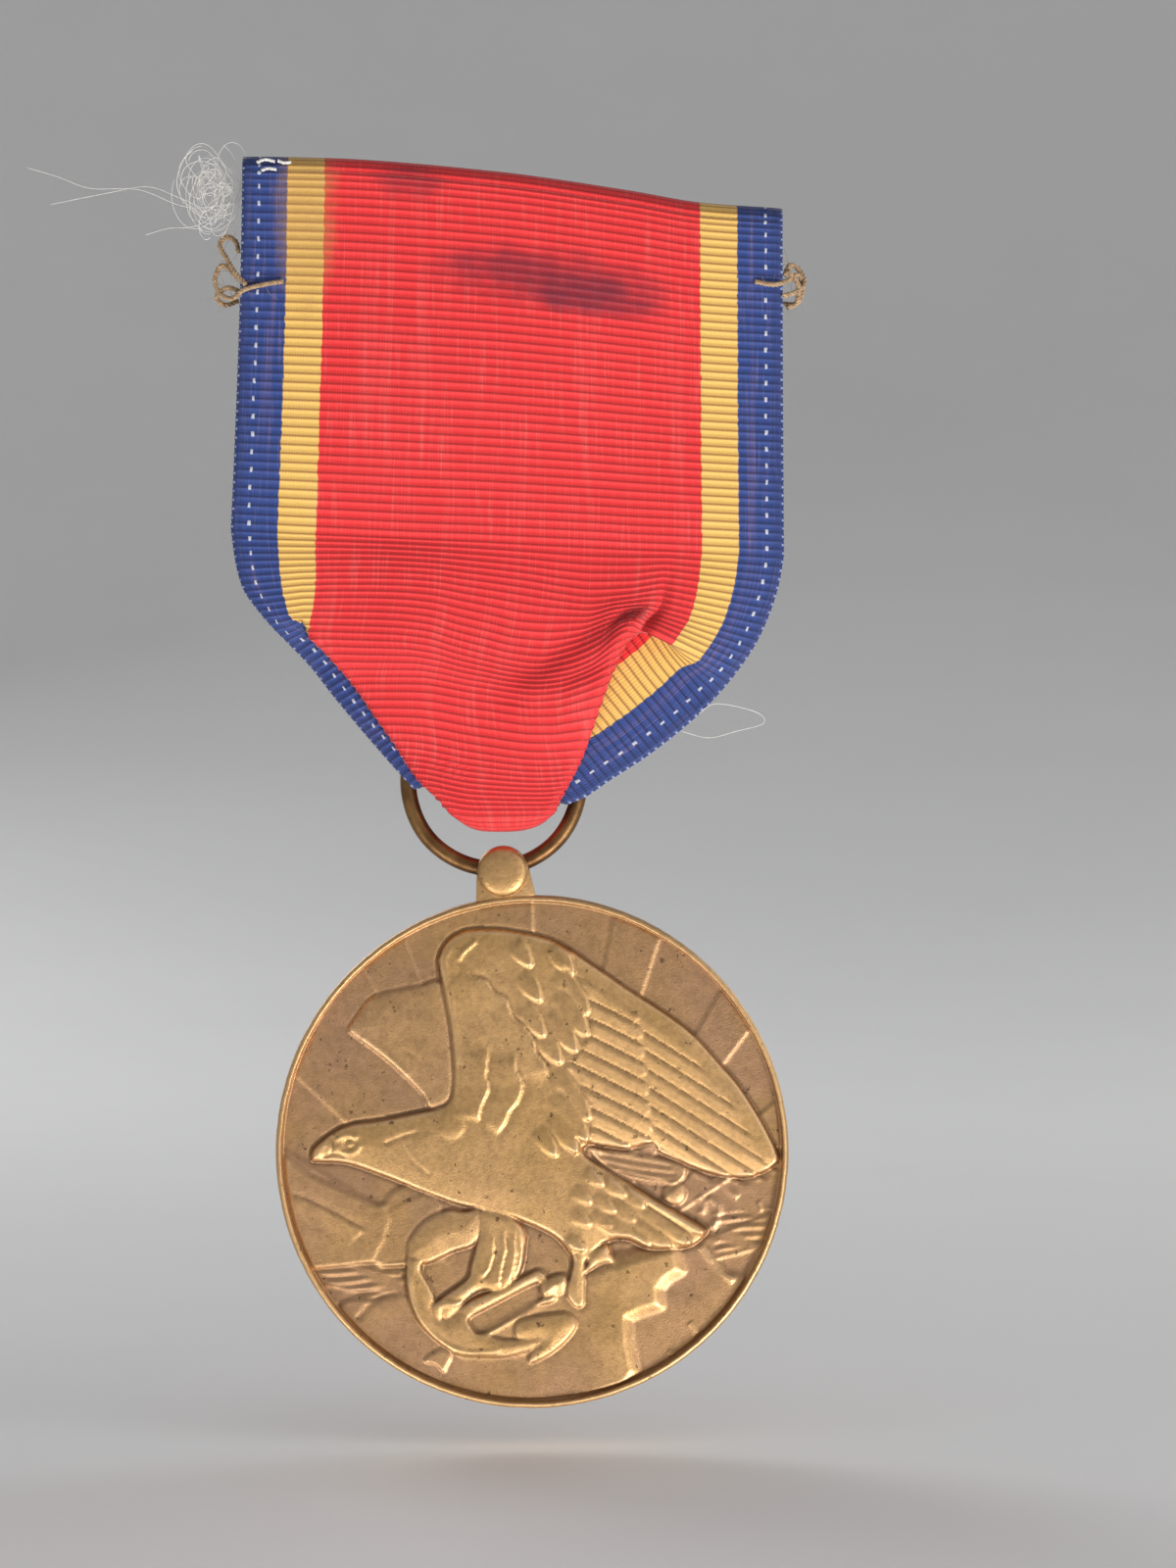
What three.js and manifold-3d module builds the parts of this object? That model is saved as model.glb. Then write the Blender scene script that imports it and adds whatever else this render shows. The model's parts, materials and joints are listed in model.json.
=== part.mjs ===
// A military service medal: a struck bronze disc on a wire ring, hung from a pleated ribbon that wraps a pin brooch.
// Millimetres, +Z up, front face towards -Y. The origin is on the brooch pin's centreline, halfway along it.
import * as THREE from "three";
import { mergeVertices } from "three/addons/utils/BufferGeometryUtils.js";
import Module from "manifold-3d";

const wasm = await Module();
wasm.setup();

const DEG = Math.PI / 180;

// ---- Driving dimensions -------------------------------------------------------------------------------------------

const DISC_RADIUS = 15.875; // a 31.75 mm (1 1/4 inch) planchet
const DISC_HALF_DEPTH = 1.2;
const RIM_WIDTH = 0.5;
const FRONT_RECESS = 0.5; // the field lies this far below the front rim
const BACK_RECESS = 0.3;
const RELIEF = { eagle: 0.42, farWing: 0.22, anchor: 0.3, rocks: 0.15 }; // heights above the front field

const WIRE_RADIUS = 0.5; // ring wire
const RING_RADIUS = 5.32; // to the wire's centreline
const RING_GAP = 1.5 * DEG; // where the wire's ends meet
const RING_TO_DISC = 22.98; // centre to centre

const KNOB_RADIUS = 1.6;
const KNOB_HALF_DEPTH = 1.4;
const KNOB_TO_DISC = 17.42;
const NECK_HALF_WIDTH = 1.7;
const NECK_HALF_DEPTH = 1.05;
const NECK_ROOT = 0.5; // how far the neck reaches inside the disc's edge before the edge is cut from it
const KNOB_HOLE_RADIUS = 0.68;
const RING_SAG = 0.12; // half the wire's rise across the knob, so that the bowed wire turns in the straight hole

const CLOTH = 0.4; // ribbon thickness
const INNER_GAP = 0.7; // from the ring's plane to a ribbon layer
const LAYER_GAP = 0.1; // between the rear layer and the flap sewn over it
const FOLD_TOP = 3.2; // height of the top fold's centre
const FOLD_BOTTOM = -34.3; // height of the bottom fold's centre
const REAR_TOP = 3.0;
const FLAP_BOTTOM = -11;

const PLATE = { width: 32.6, height: 7.6, depth: 0.9, corner: 0.8 };
const PIN_STANDOFF = 3.2; // from the ring's plane back to the pin
const PIN_RADIUS = 0.4;
const HINGE_X = 13.5;
const CATCH_X = -13;
const PIN_TIP_X = -15.6;
const SOLDER_GAP = 0.02;
const SLOT_MARGIN = 0.15;
const THROUGH = 6; // longer than anything that a hole is drilled through

const RIBBON_SKEW = 5.5 * DEG; // the brooch and the folds slope down to the right
const MEDAL_TILT = 6 * DEG; // the medal hangs a little to the right of plumb

const RING_Y = -PIN_STANDOFF; // depth of the plane that the ring and disc share
const RING_CENTRE = new THREE.Vector3(-1.0, RING_Y, -32.66);

// ---- Materials ----------------------------------------------------------------------------------------------------

const metal = (color, roughness = 0.45) => new THREE.MeshStandardMaterial({ color, roughness, metalness: 1 });
const cloth = (color) => new THREE.MeshStandardMaterial({ color, roughness: 0.9, metalness: 0 });
const BRONZE = metal(0xb08a52);
const RING_BRONZE = metal(0x8a6f50);
const BRASS = metal(0xb59a5a, 0.35);
const STEEL = metal(0xb8b8b4, 0.3);
const RIBBON_RED = cloth(0xc9323a);
const TAN_COTTON = cloth(0xb39c7a);
const RED_COTTON = cloth(0xa5282f);
const WHITE_COTTON = cloth(0xd8d4cc);

// ---- Solid helpers ------------------------------------------------------------------------------------------------

// A closed geometry as a solid, without triangles that have collapsed to a line.
function solid(geometry) {
  const bare = geometry.clone();
  bare.deleteAttribute("normal");
  bare.deleteAttribute("uv");
  const merged = mergeVertices(bare, 1e-4);
  const index = merged.index.array;
  const kept = [];
  for (let i = 0; i < index.length; i += 3) {
    const [a, b, c] = [index[i], index[i + 1], index[i + 2]];
    if (a !== b && b !== c && c !== a) kept.push(a, b, c);
  }
  return new wasm.Manifold(
    new wasm.Mesh({
      numProp: 3,
      vertProperties: merged.attributes.position.array,
      triVerts: new Uint32Array(kept),
    }),
  );
}

function part(name, body, material) {
  const made = body.getMesh();
  const geometry = new THREE.BufferGeometry()
    .setAttribute("position", new THREE.BufferAttribute(new Float32Array(made.vertProperties), 3))
    .setIndex(new THREE.BufferAttribute(made.triVerts, 1));
  geometry.computeVertexNormals();
  const mesh = new THREE.Mesh(geometry, material);
  mesh.name = name;
  return mesh;
}

const join = (...solids) => solids.reduce((a, b) => a.add(b));

const box = (sx, sy, sz, x = 0, y = 0, z = 0) => solid(new THREE.BoxGeometry(sx, sy, sz).translate(x, y, z));

// A cylinder along X, Y or Z.
function rod(axis, radius, length, x = 0, y = 0, z = 0, sides = 28) {
  const geometry = new THREE.CylinderGeometry(radius, radius, length, sides);
  if (axis === "x") geometry.rotateZ(-Math.PI / 2);
  if (axis === "z") geometry.rotateX(Math.PI / 2);
  return solid(geometry.translate(x, y, z));
}

// A shape drawn in the XZ plane, given depth from y = front to y = back.
function plateOf(shape, front, back, curveSegments = 6) {
  const geometry = new THREE.ExtrudeGeometry(shape, { depth: back - front, bevelEnabled: false, curveSegments });
  return solid(geometry.rotateX(Math.PI / 2).translate(0, back, 0));
}

// A shape drawn in the YZ plane, given width from x = left to x = right.
function barOf(shape, left, right, curveSegments = 12) {
  const turn = new THREE.Matrix4().makeBasis(
    new THREE.Vector3(0, 1, 0),
    new THREE.Vector3(0, 0, 1),
    new THREE.Vector3(1, 0, 0),
  );
  const geometry = new THREE.ExtrudeGeometry(shape, { depth: right - left, bevelEnabled: false, curveSegments });
  return solid(geometry.applyMatrix4(turn).translate(left, 0, 0));
}

// A closed round tube along a curve.
function tube(curve, radius, steps, sides) {
  const section = new THREE.Shape();
  for (let i = 0; i < sides; i++) {
    const angle = (i / sides) * 2 * Math.PI;
    const place = [radius * Math.cos(angle), radius * Math.sin(angle)];
    if (i === 0) section.moveTo(...place);
    else section.lineTo(...place);
  }
  return solid(new THREE.ExtrudeGeometry(section, { steps, extrudePath: curve, bevelEnabled: false }));
}

const threadAlong = (points, radius, steps) =>
  tube(new THREE.CatmullRomCurve3(points.map((p) => new THREE.Vector3(...p))), radius, steps, 6);

function outline(points) {
  const [first, ...rest] = points.map(([x, z]) => new THREE.Vector2(x, z));
  const shape = new THREE.Shape().moveTo(first.x, first.y);
  rest.forEach((p) => shape.lineTo(p.x, p.y));
  return shape;
}

// A closed smooth outline through its points.
function smoothOutline(points, samples) {
  const curve = new THREE.CatmullRomCurve3(
    points.map(([x, z]) => new THREE.Vector3(x, 0, z)),
    true,
    "centripetal",
  );
  return outline(curve.getPoints(samples).slice(0, -1).map((p) => [p.x, p.z]));
}

// ---- The struck disc ----------------------------------------------------------------------------------------------

function planchet() {
  const r = DISC_RADIUS;
  const t = DISC_HALF_DEPTH;
  const bevel = 0.14;
  const slope = 0.16;
  const field = r - RIM_WIDTH - slope;
  const profile = [
    [0, -t + BACK_RECESS],
    [field, -t + BACK_RECESS],
    [r - RIM_WIDTH, -t],
    [r - bevel, -t],
    [r, -t + bevel],
    [r, t - bevel],
    [r - bevel, t],
    [r - RIM_WIDTH, t],
    [field, t - FRONT_RECESS],
    [0, t - FRONT_RECESS],
  ].map(([x, y]) => new THREE.Vector2(x, y));
  // The lathe turns about Y with the front upwards, so half a turn about X puts the front towards -Y.
  return solid(new THREE.LatheGeometry(profile, 96).rotateX(Math.PI));
}

// The near wing, head, body, legs and tail of the bird, as one silhouette.
const EAGLE = [
  [-13.6, 0.9],
  [-12.3, 0.7],
  [-9, -0.4],
  [-6, -2],
  [-3.8, -3.2],
  [-4.7, -6.6],
  [-7, -9.2],
  [-4, -8],
  [-2, -7.6],
  [-1.1, -5],
  [0.8, -5.6],
  [1.8, -7.4],
  [1.9, -9.6],
  [2.6, -8],
  [4.2, -7],
  [7, -7],
  [10, -6.3],
  [6.5, -3.6],
  [3.5, -0.6],
  [7, -0.3],
  [11, -2.5],
  [14.6, -2.5],
  [13.6, 1.2],
  [11, 5.4],
  [8, 8.6],
  [3, 12.6],
  [-2, 13.8],
  [-4.4, 12.4],
  [-4.2, 6.5],
  [-5, 3.4],
  [-10, 2.9],
  [-12.6, 2],
];

const FAR_WING = [
  [-4, 10.5],
  [-8, 10.6],
  [-10.4, 8.7],
  [-8.4, 6.8],
  [-5.8, 3.2],
  [-4, 4],
];

const ANCHOR_ARM = [
  [-5.2, -3.2],
  [-8, -4.4],
  [-8.6, -8],
  [-6.8, -11.6],
  [-3, -12.5],
  [1.4, -11],
  [1.3, -10.3],
  [-2, -10.4],
  [-3.5, -11.4],
  [-6.4, -9.6],
  [-7.2, -6.6],
];

const ROCKS = [
  [-11.4, -8.8],
  [-3, -8.6],
  [4.4, -7.6],
  [8.4, -7.4],
  [11.4, -8.6],
  [8.6, -12.2],
  [3, -14.6],
  [-3, -14.6],
  [-8.6, -12],
];

function disc() {
  const front = -DISC_HALF_DEPTH;
  const field = front + FRONT_RECESS;
  const root = 0.2; // the relief starts this far inside the disc, so that it joins it
  const raise = (shape, height) => plateOf(shape, field - height, field + root);
  return join(
    planchet(),
    raise(smoothOutline(EAGLE, 110), RELIEF.eagle),
    raise(smoothOutline(FAR_WING, 24), RELIEF.farWing),
    raise(smoothOutline(ANCHOR_ARM, 40), RELIEF.anchor),
    raise(outline(ROCKS), RELIEF.rocks),
  );
}

// ---- The suspension knob, soldered to the rim, with a hole for the ring -------------------------------------------

function knob() {
  const bevel = 0.16;
  const boss = [
    [0, -KNOB_HALF_DEPTH],
    [KNOB_RADIUS - bevel, -KNOB_HALF_DEPTH],
    [KNOB_RADIUS, -KNOB_HALF_DEPTH + bevel],
    [KNOB_RADIUS, KNOB_HALF_DEPTH - bevel],
    [KNOB_RADIUS - bevel, KNOB_HALF_DEPTH],
    [0, KNOB_HALF_DEPTH],
  ].map(([x, y]) => new THREE.Vector2(x, y));
  const round = solid(new THREE.LatheGeometry(boss, 36).translate(0, 0, KNOB_TO_DISC));
  const neckHeight = KNOB_TO_DISC - DISC_RADIUS + NECK_ROOT;
  const neck = box(2 * NECK_HALF_WIDTH, 2 * NECK_HALF_DEPTH, neckHeight, 0, 0, KNOB_TO_DISC - neckHeight / 2);
  const holeHeight = RING_TO_DISC - RING_RADIUS + RING_SAG;
  const hole = rod("x", KNOB_HOLE_RADIUS, THROUGH, 0, 0, holeHeight);
  return join(round, neck)
    .subtract(rod("y", DISC_RADIUS + SOLDER_GAP, THROUGH, 0, 0, 0, 192))
    .subtract(hole);
}

// ---- The wire ring, with its butt joint at the top ----------------------------------------------------------------

class RingCurve extends THREE.Curve {
  getPoint(t, target = new THREE.Vector3()) {
    const angle = Math.PI / 2 + RING_GAP / 2 + t * (2 * Math.PI - RING_GAP);
    return target.set(RING_RADIUS * Math.cos(angle), 0, RING_RADIUS * Math.sin(angle));
  }
}

const ring = () => tube(new RingCurve(), WIRE_RADIUS, 64, 12);

// ---- The ribbon: one strip from the rear flap over the top, down the front, through the ring and up the back ------

// The outline of the pleated drape, seen from the front.
const DRAPE = (() => {
  const left = [
    [-17.1, -12.8],
    [-17, -18.2],
    [-15.6, -21.9],
    [-13.3, -24.4],
    [-10.6, -26.9],
    [-8.2, -29.8],
    [-6.2, -32.5],
    [-4.8, -34.1],
    [-3.5, -35.2],
  ];
  const right = [
    [1.7, -35.5],
    [2.5, -34.7],
    [3.9, -33.4],
    [7.9, -31.3],
    [12.1, -28.5],
    [14.5, -26.1],
    [16.1, -23.1],
    [17, -18.2],
    [17.15, -11],
  ];
  return [[-16.4, 8], ...left, [-2.9, -38], [1.1, -38], ...right, [16.85, 8]];
})();

function stripSection() {
  const inner = INNER_GAP;
  const outer = INNER_GAP + CLOTH;
  const flapInner = outer + LAYER_GAP;
  const flapOuter = flapInner + CLOTH;
  const topCentre = (flapOuter - outer) / 2;
  const topOuter = (flapOuter + outer) / 2;
  const topInner = topOuter - CLOTH;
  return new THREE.Shape()
    .moveTo(flapOuter, FLAP_BOTTOM)
    .lineTo(flapOuter, FOLD_TOP)
    .absarc(topCentre, FOLD_TOP, topOuter, 0, Math.PI, false)
    .lineTo(-outer, FOLD_BOTTOM)
    .absarc(0, FOLD_BOTTOM, outer, Math.PI, 2 * Math.PI, false)
    .lineTo(outer, REAR_TOP)
    .lineTo(inner, REAR_TOP)
    .lineTo(inner, FOLD_BOTTOM)
    .absarc(0, FOLD_BOTTOM, inner, 2 * Math.PI, Math.PI, true)
    .lineTo(-inner, FOLD_TOP)
    .absarc(topCentre, FOLD_TOP, topInner, Math.PI, 0, true)
    .lineTo(flapInner, FLAP_BOTTOM);
}

function ribbon() {
  const skew = RIBBON_SKEW / DEG;
  const halfBlank = 26; // wider than the drape, whose outline trims it
  const trimDepth = 3;
  const strip = barOf(stripSection(), -halfBlank, halfBlank).translate([0, RING_Y, 0]);
  // Slots through the rear layer and the flap, for the parts that stand on the brooch plate.
  const slotDepth = 2;
  const slotY = RING_Y + 0.6 + slotDepth / 2;
  const slot = ({ width, height }, x) =>
    box(width + 2 * SLOT_MARGIN, slotDepth, height + 2 * SLOT_MARGIN, x, slotY, 0);
  const slots = join(slot(BRACKET, HINGE_X), slot(STEM, CATCH_X));
  const drape = plateOf(outline(DRAPE), RING_Y - trimDepth, RING_Y + trimDepth);
  return strip.subtract(slots).rotate([0, skew, 0]).intersect(drape);
}

// ---- Brooch: plate, hinge bracket, rivet, pin, catch and its turning lock -----------------------------------------
// These are drawn level, round the pin's centreline, and sit in a group that slopes with the ribbon.

const PLATE_BACK = RING_Y + PLATE.depth / 2;
const BRACKET = { width: 2.6, height: 3.2, sheet: 0.5 };
const STEM = { width: 2.6, height: 2.0 };
const RIVET_RADIUS = 0.42;
const RIVET_HEAD = { radius: 0.72, thick: 0.3 };
const EAR_PLAY = 0.04; // between the rivet and the bracket's holes
const EYE_PLAY = 0.05; // between the rivet and the pin's eye
const EYE_RADIUS = 0.9;

function broochPlate() {
  const { width, height, depth, corner } = PLATE;
  const [x, z] = [width / 2, height / 2];
  const shape = new THREE.Shape()
    .moveTo(-x + corner, -z)
    .lineTo(x - corner, -z)
    .absarc(x - corner, -z + corner, corner, -Math.PI / 2, 0, false)
    .lineTo(x, z - corner)
    .absarc(x - corner, z - corner, corner, 0, Math.PI / 2, false)
    .lineTo(-x + corner, z)
    .absarc(-x + corner, z - corner, corner, Math.PI / 2, Math.PI, false)
    .lineTo(-x, -z + corner)
    .absarc(-x + corner, -z + corner, corner, Math.PI, 1.5 * Math.PI, false);
  return plateOf(shape, RING_Y - depth / 2, PLATE_BACK);
}

// A bent sheet-metal channel: a base on the plate and two ears that hold the rivet.
function hingeBracket() {
  const { width, height, sheet } = BRACKET;
  const start = PLATE_BACK + SOLDER_GAP;
  const base = box(width, sheet, height, HINGE_X, start + sheet / 2, 0);
  const ear = (side) => {
    const z = side * (height / 2 - sheet / 2);
    const wall = box(2 * EYE_RADIUS, -start, sheet, HINGE_X, start / 2, z);
    return join(wall, rod("z", EYE_RADIUS, sheet, HINGE_X, 0, z));
  };
  return join(base, ear(1), ear(-1)).subtract(rod("z", RIVET_RADIUS + EAR_PLAY, THROUGH, HINGE_X, 0, 0));
}

function hingeRivet() {
  const { radius, thick } = RIVET_HEAD;
  const reach = BRACKET.height / 2 + SOLDER_GAP;
  const head = (side) => rod("z", radius, thick, HINGE_X, 0, side * (reach + thick / 2));
  return join(rod("z", RIVET_RADIUS, 2 * reach + thick, HINGE_X, 0, 0), head(1), head(-1));
}

// The pin: a pierced eye on the rivet and a wire that tapers to a point beyond the catch.
function broochPin() {
  const length = HINGE_X - PIN_TIP_X;
  const taper = 4; // length of the ground point
  const shoulder = { radius: PIN_RADIUS * 0.6, fromTip: taper * 0.3 };
  const tipRadius = 0.05;
  const profile = [
    [0, 0],
    [PIN_RADIUS, 0],
    [PIN_RADIUS, length - taper],
    [shoulder.radius, length - shoulder.fromTip],
    [tipRadius, length],
    [0, length],
  ].map(([x, y]) => new THREE.Vector2(x, y));
  const wire = solid(new THREE.LatheGeometry(profile, 16).rotateZ(Math.PI / 2).translate(HINGE_X, 0, 0));
  const endPlay = 0.1; // above and below the eye, between the ears
  const eyeHeight = BRACKET.height - 2 * BRACKET.sheet - 2 * endPlay;
  const eye = rod("z", EYE_RADIUS, eyeHeight, HINGE_X, 0, 0);
  return join(wire, eye).subtract(rod("z", RIVET_RADIUS + EYE_PLAY, THROUGH, HINGE_X, 0, 0));
}

// Angles round the catch run from the rear (+Y) up towards +Z. Its wall is open at the rear, for the lock's tab.
const CATCH = { outer: 1.5, cavity: 1.06, halfWidth: 1.3, cheek: 0.55, mouth: 1.04, wallInset: 0.1, stemRoot: 0.2 };
const CATCH_WALL = { start: 115 * DEG, end: 320 * DEG };
const LOCK = { outer: 1.0, inner: 0.5, halfWidth: 0.7, tabRoot: 0.7, tabReach: 2.3, tabWidth: 1.1, tabThick: 0.5 };

function catchBody() {
  const { outer, cavity, halfWidth, cheek, mouth, wallInset, stemRoot } = CATCH;
  const { start: wallStart, end: wallEnd } = CATCH_WALL;
  const wall = new THREE.Shape()
    .moveTo(outer * Math.cos(wallStart), outer * Math.sin(wallStart))
    .absarc(0, 0, outer, wallStart, wallEnd, false)
    .lineTo(cavity * Math.cos(wallEnd), cavity * Math.sin(wallEnd))
    .absarc(0, 0, cavity, wallEnd, wallStart, true);
  const shell = barOf(wall, CATCH_X - halfWidth + wallInset, CATCH_X + halfWidth - wallInset, 20);
  const cheekAt = (side) => rod("x", outer, cheek, CATCH_X + side * (halfWidth - cheek / 2), 0, 0);
  const start = PLATE_BACK + SOLDER_GAP;
  const stemDepth = -cavity - stemRoot - start;
  const stem = box(STEM.width, stemDepth, STEM.height, CATCH_X, start + stemDepth / 2, 0);
  const pathLength = 8;
  const pathDepth = 3;
  const channel = box(pathLength, pathDepth, mouth, CATCH_X, pathDepth / 2, 0);
  const pinPath = channel.add(rod("x", mouth / 2, pathLength, CATCH_X, 0, 0));
  return join(stem, shell, cheekAt(1), cheekAt(-1)).subtract(pinPath);
}

// A C-shaped ring that turns inside the catch to close its mouth, with a thumb tab.
function catchLock() {
  const { outer, inner, halfWidth, tabRoot, tabReach, tabWidth, tabThick } = LOCK;
  const body = rod("x", outer, 2 * halfWidth, CATCH_X, 0, 0);
  const tab = box(tabWidth, tabThick, tabReach - tabRoot, CATCH_X, 0, (tabReach + tabRoot) / 2);
  const mouthLength = 4;
  const mouthDepth = 2;
  const channel = box(mouthLength, mouthDepth, 2 * inner, CATCH_X, mouthDepth / 2, 0);
  const mouth = channel.add(rod("x", inner, mouthLength, CATCH_X, 0, 0));
  return join(body, tab).subtract(mouth);
}

// ---- Threads ------------------------------------------------------------------------------------------------------

const THREAD_RADIUS = 0.17;
const THREAD_GAP = 0.05; // between a thread and the cloth that it lies on
const FRONT_FACE = RING_Y - INNER_GAP - CLOTH - THREAD_RADIUS - THREAD_GAP;
const FLAP_FACE = RING_Y + INNER_GAP + 2 * CLOTH + LAYER_GAP + THREAD_RADIUS + THREAD_GAP;

const leftTack = () =>
  threadAlong(
    [
      [-15.8, FRONT_FACE, -1.5],
      [-16.9, FRONT_FACE, -1.8],
      [-17.4, -3.8, -2.2],
      [-17.8, -3.2, -2.6],
      [-18.2, -3.0, -1.8],
      [-18.2, -3.0, -0.7],
      [-17.7, -3.1, 0.4],
      [-17.2, -3.3, 1.1],
    ],
    THREAD_RADIUS,
    28,
  );

const rightTack = () =>
  threadAlong(
    [
      [16.3, FRONT_FACE, -1.9],
      [17.2, FRONT_FACE, -1.9],
      [17.8, -3.8, -1.7],
      [18.0, -3.0, -2.2],
      [17.8, -2.2, -2.6],
      [17.3, FLAP_FACE, -2.8],
      [16.2, FLAP_FACE, -2.8],
    ],
    THREAD_RADIUS,
    24,
  );

// Whip stitches along the flap's lower edge, as one zigzag thread on the cloth's surface.
function rearSeam() {
  const stitches = 13;
  const halfWidth = 15.2;
  const threadRadius = 0.13;
  const onCloth = FLAP_FACE - THREAD_RADIUS + threadRadius + 0.01;
  const above = 0.7;
  const below = -0.6;
  const points = [];
  for (let i = 0; i <= 2 * stitches; i++) {
    const x = -halfWidth + (i / stitches) * halfWidth;
    points.push([x, onCloth, FLAP_BOTTOM + (i % 2 ? above : below)]);
  }
  return threadAlong(points, threadRadius, 8 * stitches);
}

// The outer shape of the tuft of frayed thread that stands off the upper left corner.
const TUFT = { x: -18.5, z: 3.9, halfWidth: 1.85, halfDepth: 0.8, halfHeight: 2.7 };

const frayedThread = () =>
  solid(
    new THREE.SphereGeometry(1, 18, 12)
      .scale(TUFT.halfWidth, TUFT.halfDepth, TUFT.halfHeight)
      .translate(TUFT.x, RING_Y, TUFT.z),
  );

// ---- Assembly -----------------------------------------------------------------------------------------------------

const medalParts = new THREE.Group();
medalParts.position
  .copy(RING_CENTRE)
  .add(new THREE.Vector3(Math.sin(MEDAL_TILT), 0, -Math.cos(MEDAL_TILT)).multiplyScalar(RING_TO_DISC));
medalParts.rotation.y = -MEDAL_TILT;
medalParts.add(part("medal_disc", disc(), BRONZE), part("suspension_knob", knob(), BRONZE));

const ringPart = part("suspension_ring", ring(), RING_BRONZE);
ringPart.position.copy(RING_CENTRE);

const broochParts = new THREE.Group();
broochParts.rotation.y = RIBBON_SKEW;
broochParts.add(
  part("brooch_plate", broochPlate(), BRASS),
  part("hinge_bracket", hingeBracket(), BRASS),
  part("hinge_rivet", hingeRivet(), STEEL),
  part("brooch_pin", broochPin(), STEEL),
  part("catch_body", catchBody(), BRASS),
  part("catch_lock", catchLock(), BRASS),
  part("rear_seam_thread", rearSeam(), RED_COTTON),
);

const medal = new THREE.Group();
medal.add(
  medalParts,
  ringPart,
  broochParts,
  part("ribbon", ribbon(), RIBBON_RED),
  part("left_tack_thread", leftTack(), TAN_COTTON),
  part("right_tack_thread", rightTack(), TAN_COTTON),
  part("frayed_thread", frayedThread(), WHITE_COTTON),
);

export default medal;
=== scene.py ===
"""Looks for a military service medal: a struck bronze disc on a wire ring, hung from a pleated ribbon.

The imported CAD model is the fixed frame. Lengths here are millimetres until MM turns them into metres.
+Z is up, the front faces -Y, and +X is to the viewer's right.
"""

import json
import math

import bpy
import numpy as np
from mathutils import Matrix, Vector


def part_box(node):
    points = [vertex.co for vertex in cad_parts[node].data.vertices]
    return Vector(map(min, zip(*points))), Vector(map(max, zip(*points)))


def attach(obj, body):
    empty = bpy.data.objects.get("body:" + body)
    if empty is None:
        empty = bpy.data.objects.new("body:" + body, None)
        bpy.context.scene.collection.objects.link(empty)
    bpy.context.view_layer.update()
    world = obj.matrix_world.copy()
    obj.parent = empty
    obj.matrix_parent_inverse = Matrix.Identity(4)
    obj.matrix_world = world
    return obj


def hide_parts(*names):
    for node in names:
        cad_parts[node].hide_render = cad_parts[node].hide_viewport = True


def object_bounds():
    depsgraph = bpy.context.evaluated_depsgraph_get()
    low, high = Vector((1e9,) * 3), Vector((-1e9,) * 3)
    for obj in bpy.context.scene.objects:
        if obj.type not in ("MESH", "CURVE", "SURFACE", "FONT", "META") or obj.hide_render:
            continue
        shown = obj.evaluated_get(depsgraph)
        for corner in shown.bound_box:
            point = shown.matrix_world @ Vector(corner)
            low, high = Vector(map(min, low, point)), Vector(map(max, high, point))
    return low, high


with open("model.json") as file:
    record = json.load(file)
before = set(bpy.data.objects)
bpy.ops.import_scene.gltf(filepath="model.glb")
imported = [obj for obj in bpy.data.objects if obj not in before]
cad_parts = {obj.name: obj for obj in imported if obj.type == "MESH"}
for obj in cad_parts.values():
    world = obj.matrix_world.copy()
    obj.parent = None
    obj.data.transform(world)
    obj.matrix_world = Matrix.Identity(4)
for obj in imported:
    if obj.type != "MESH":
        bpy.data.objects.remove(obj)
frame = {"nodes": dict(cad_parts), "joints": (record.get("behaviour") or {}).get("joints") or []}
CAD_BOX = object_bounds()

MM = 0.001
SEED = 7

JOINTS = {joint["name"]: joint for joint in frame["joints"]}


def joint_place(name):
    """Where a joint turns, in millimetres."""
    return np.array(JOINTS[name]["pos_m"]) / MM


def joint_axis(name):
    return np.array(JOINTS[name]["axis"])


def node_box(name):
    """A CAD node's low and high corners in millimetres."""
    return [np.array(corner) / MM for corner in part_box(name)]


# ---- Places taken from the frame ----

RING_CENTRE = joint_place("ring_turn")
MEDAL_RIGHT = joint_axis("medal_swing")
MEDAL_UP = np.array([-MEDAL_RIGHT[2], 0.0, MEDAL_RIGHT[0]])
DISC_LOW, DISC_HIGH = node_box("medal_disc")
DISC_CENTRE = (DISC_LOW + DISC_HIGH) / 2
DISC_RADIUS = (DISC_HIGH[2] - DISC_LOW[2]) / 2
DISC_HALF_DEPTH = (DISC_HIGH[1] - DISC_LOW[1]) / 2

# The ribbon's width as modelled.
STRIP_WIDTH = 34.3


# ---- Curves and distances in a plane ----


def smooth_line(points, per_span=6, closed=False):
    """A Catmull-Rom line through the points."""
    knots = np.array(points, float)
    if closed:
        padded = np.vstack([knots[-1:], knots, knots[:2]])
    else:
        padded = np.vstack([2 * knots[:1] - knots[1:2], knots, 2 * knots[-1:] - knots[-2:-1]])
    spans = len(padded) - 3
    t = np.arange(per_span)[:, None] / per_span
    out = []
    for i in range(spans):
        a, b, c, d = padded[i : i + 4]
        square, cube = 2 * a - 5 * b + 4 * c - d, 3 * b - a - 3 * c + d
        out.append(0.5 * (2 * b + (c - a) * t + square * t**2 + cube * t**3))
    if not closed:
        out.append(knots[-1:])
    return np.vstack(out)


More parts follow.
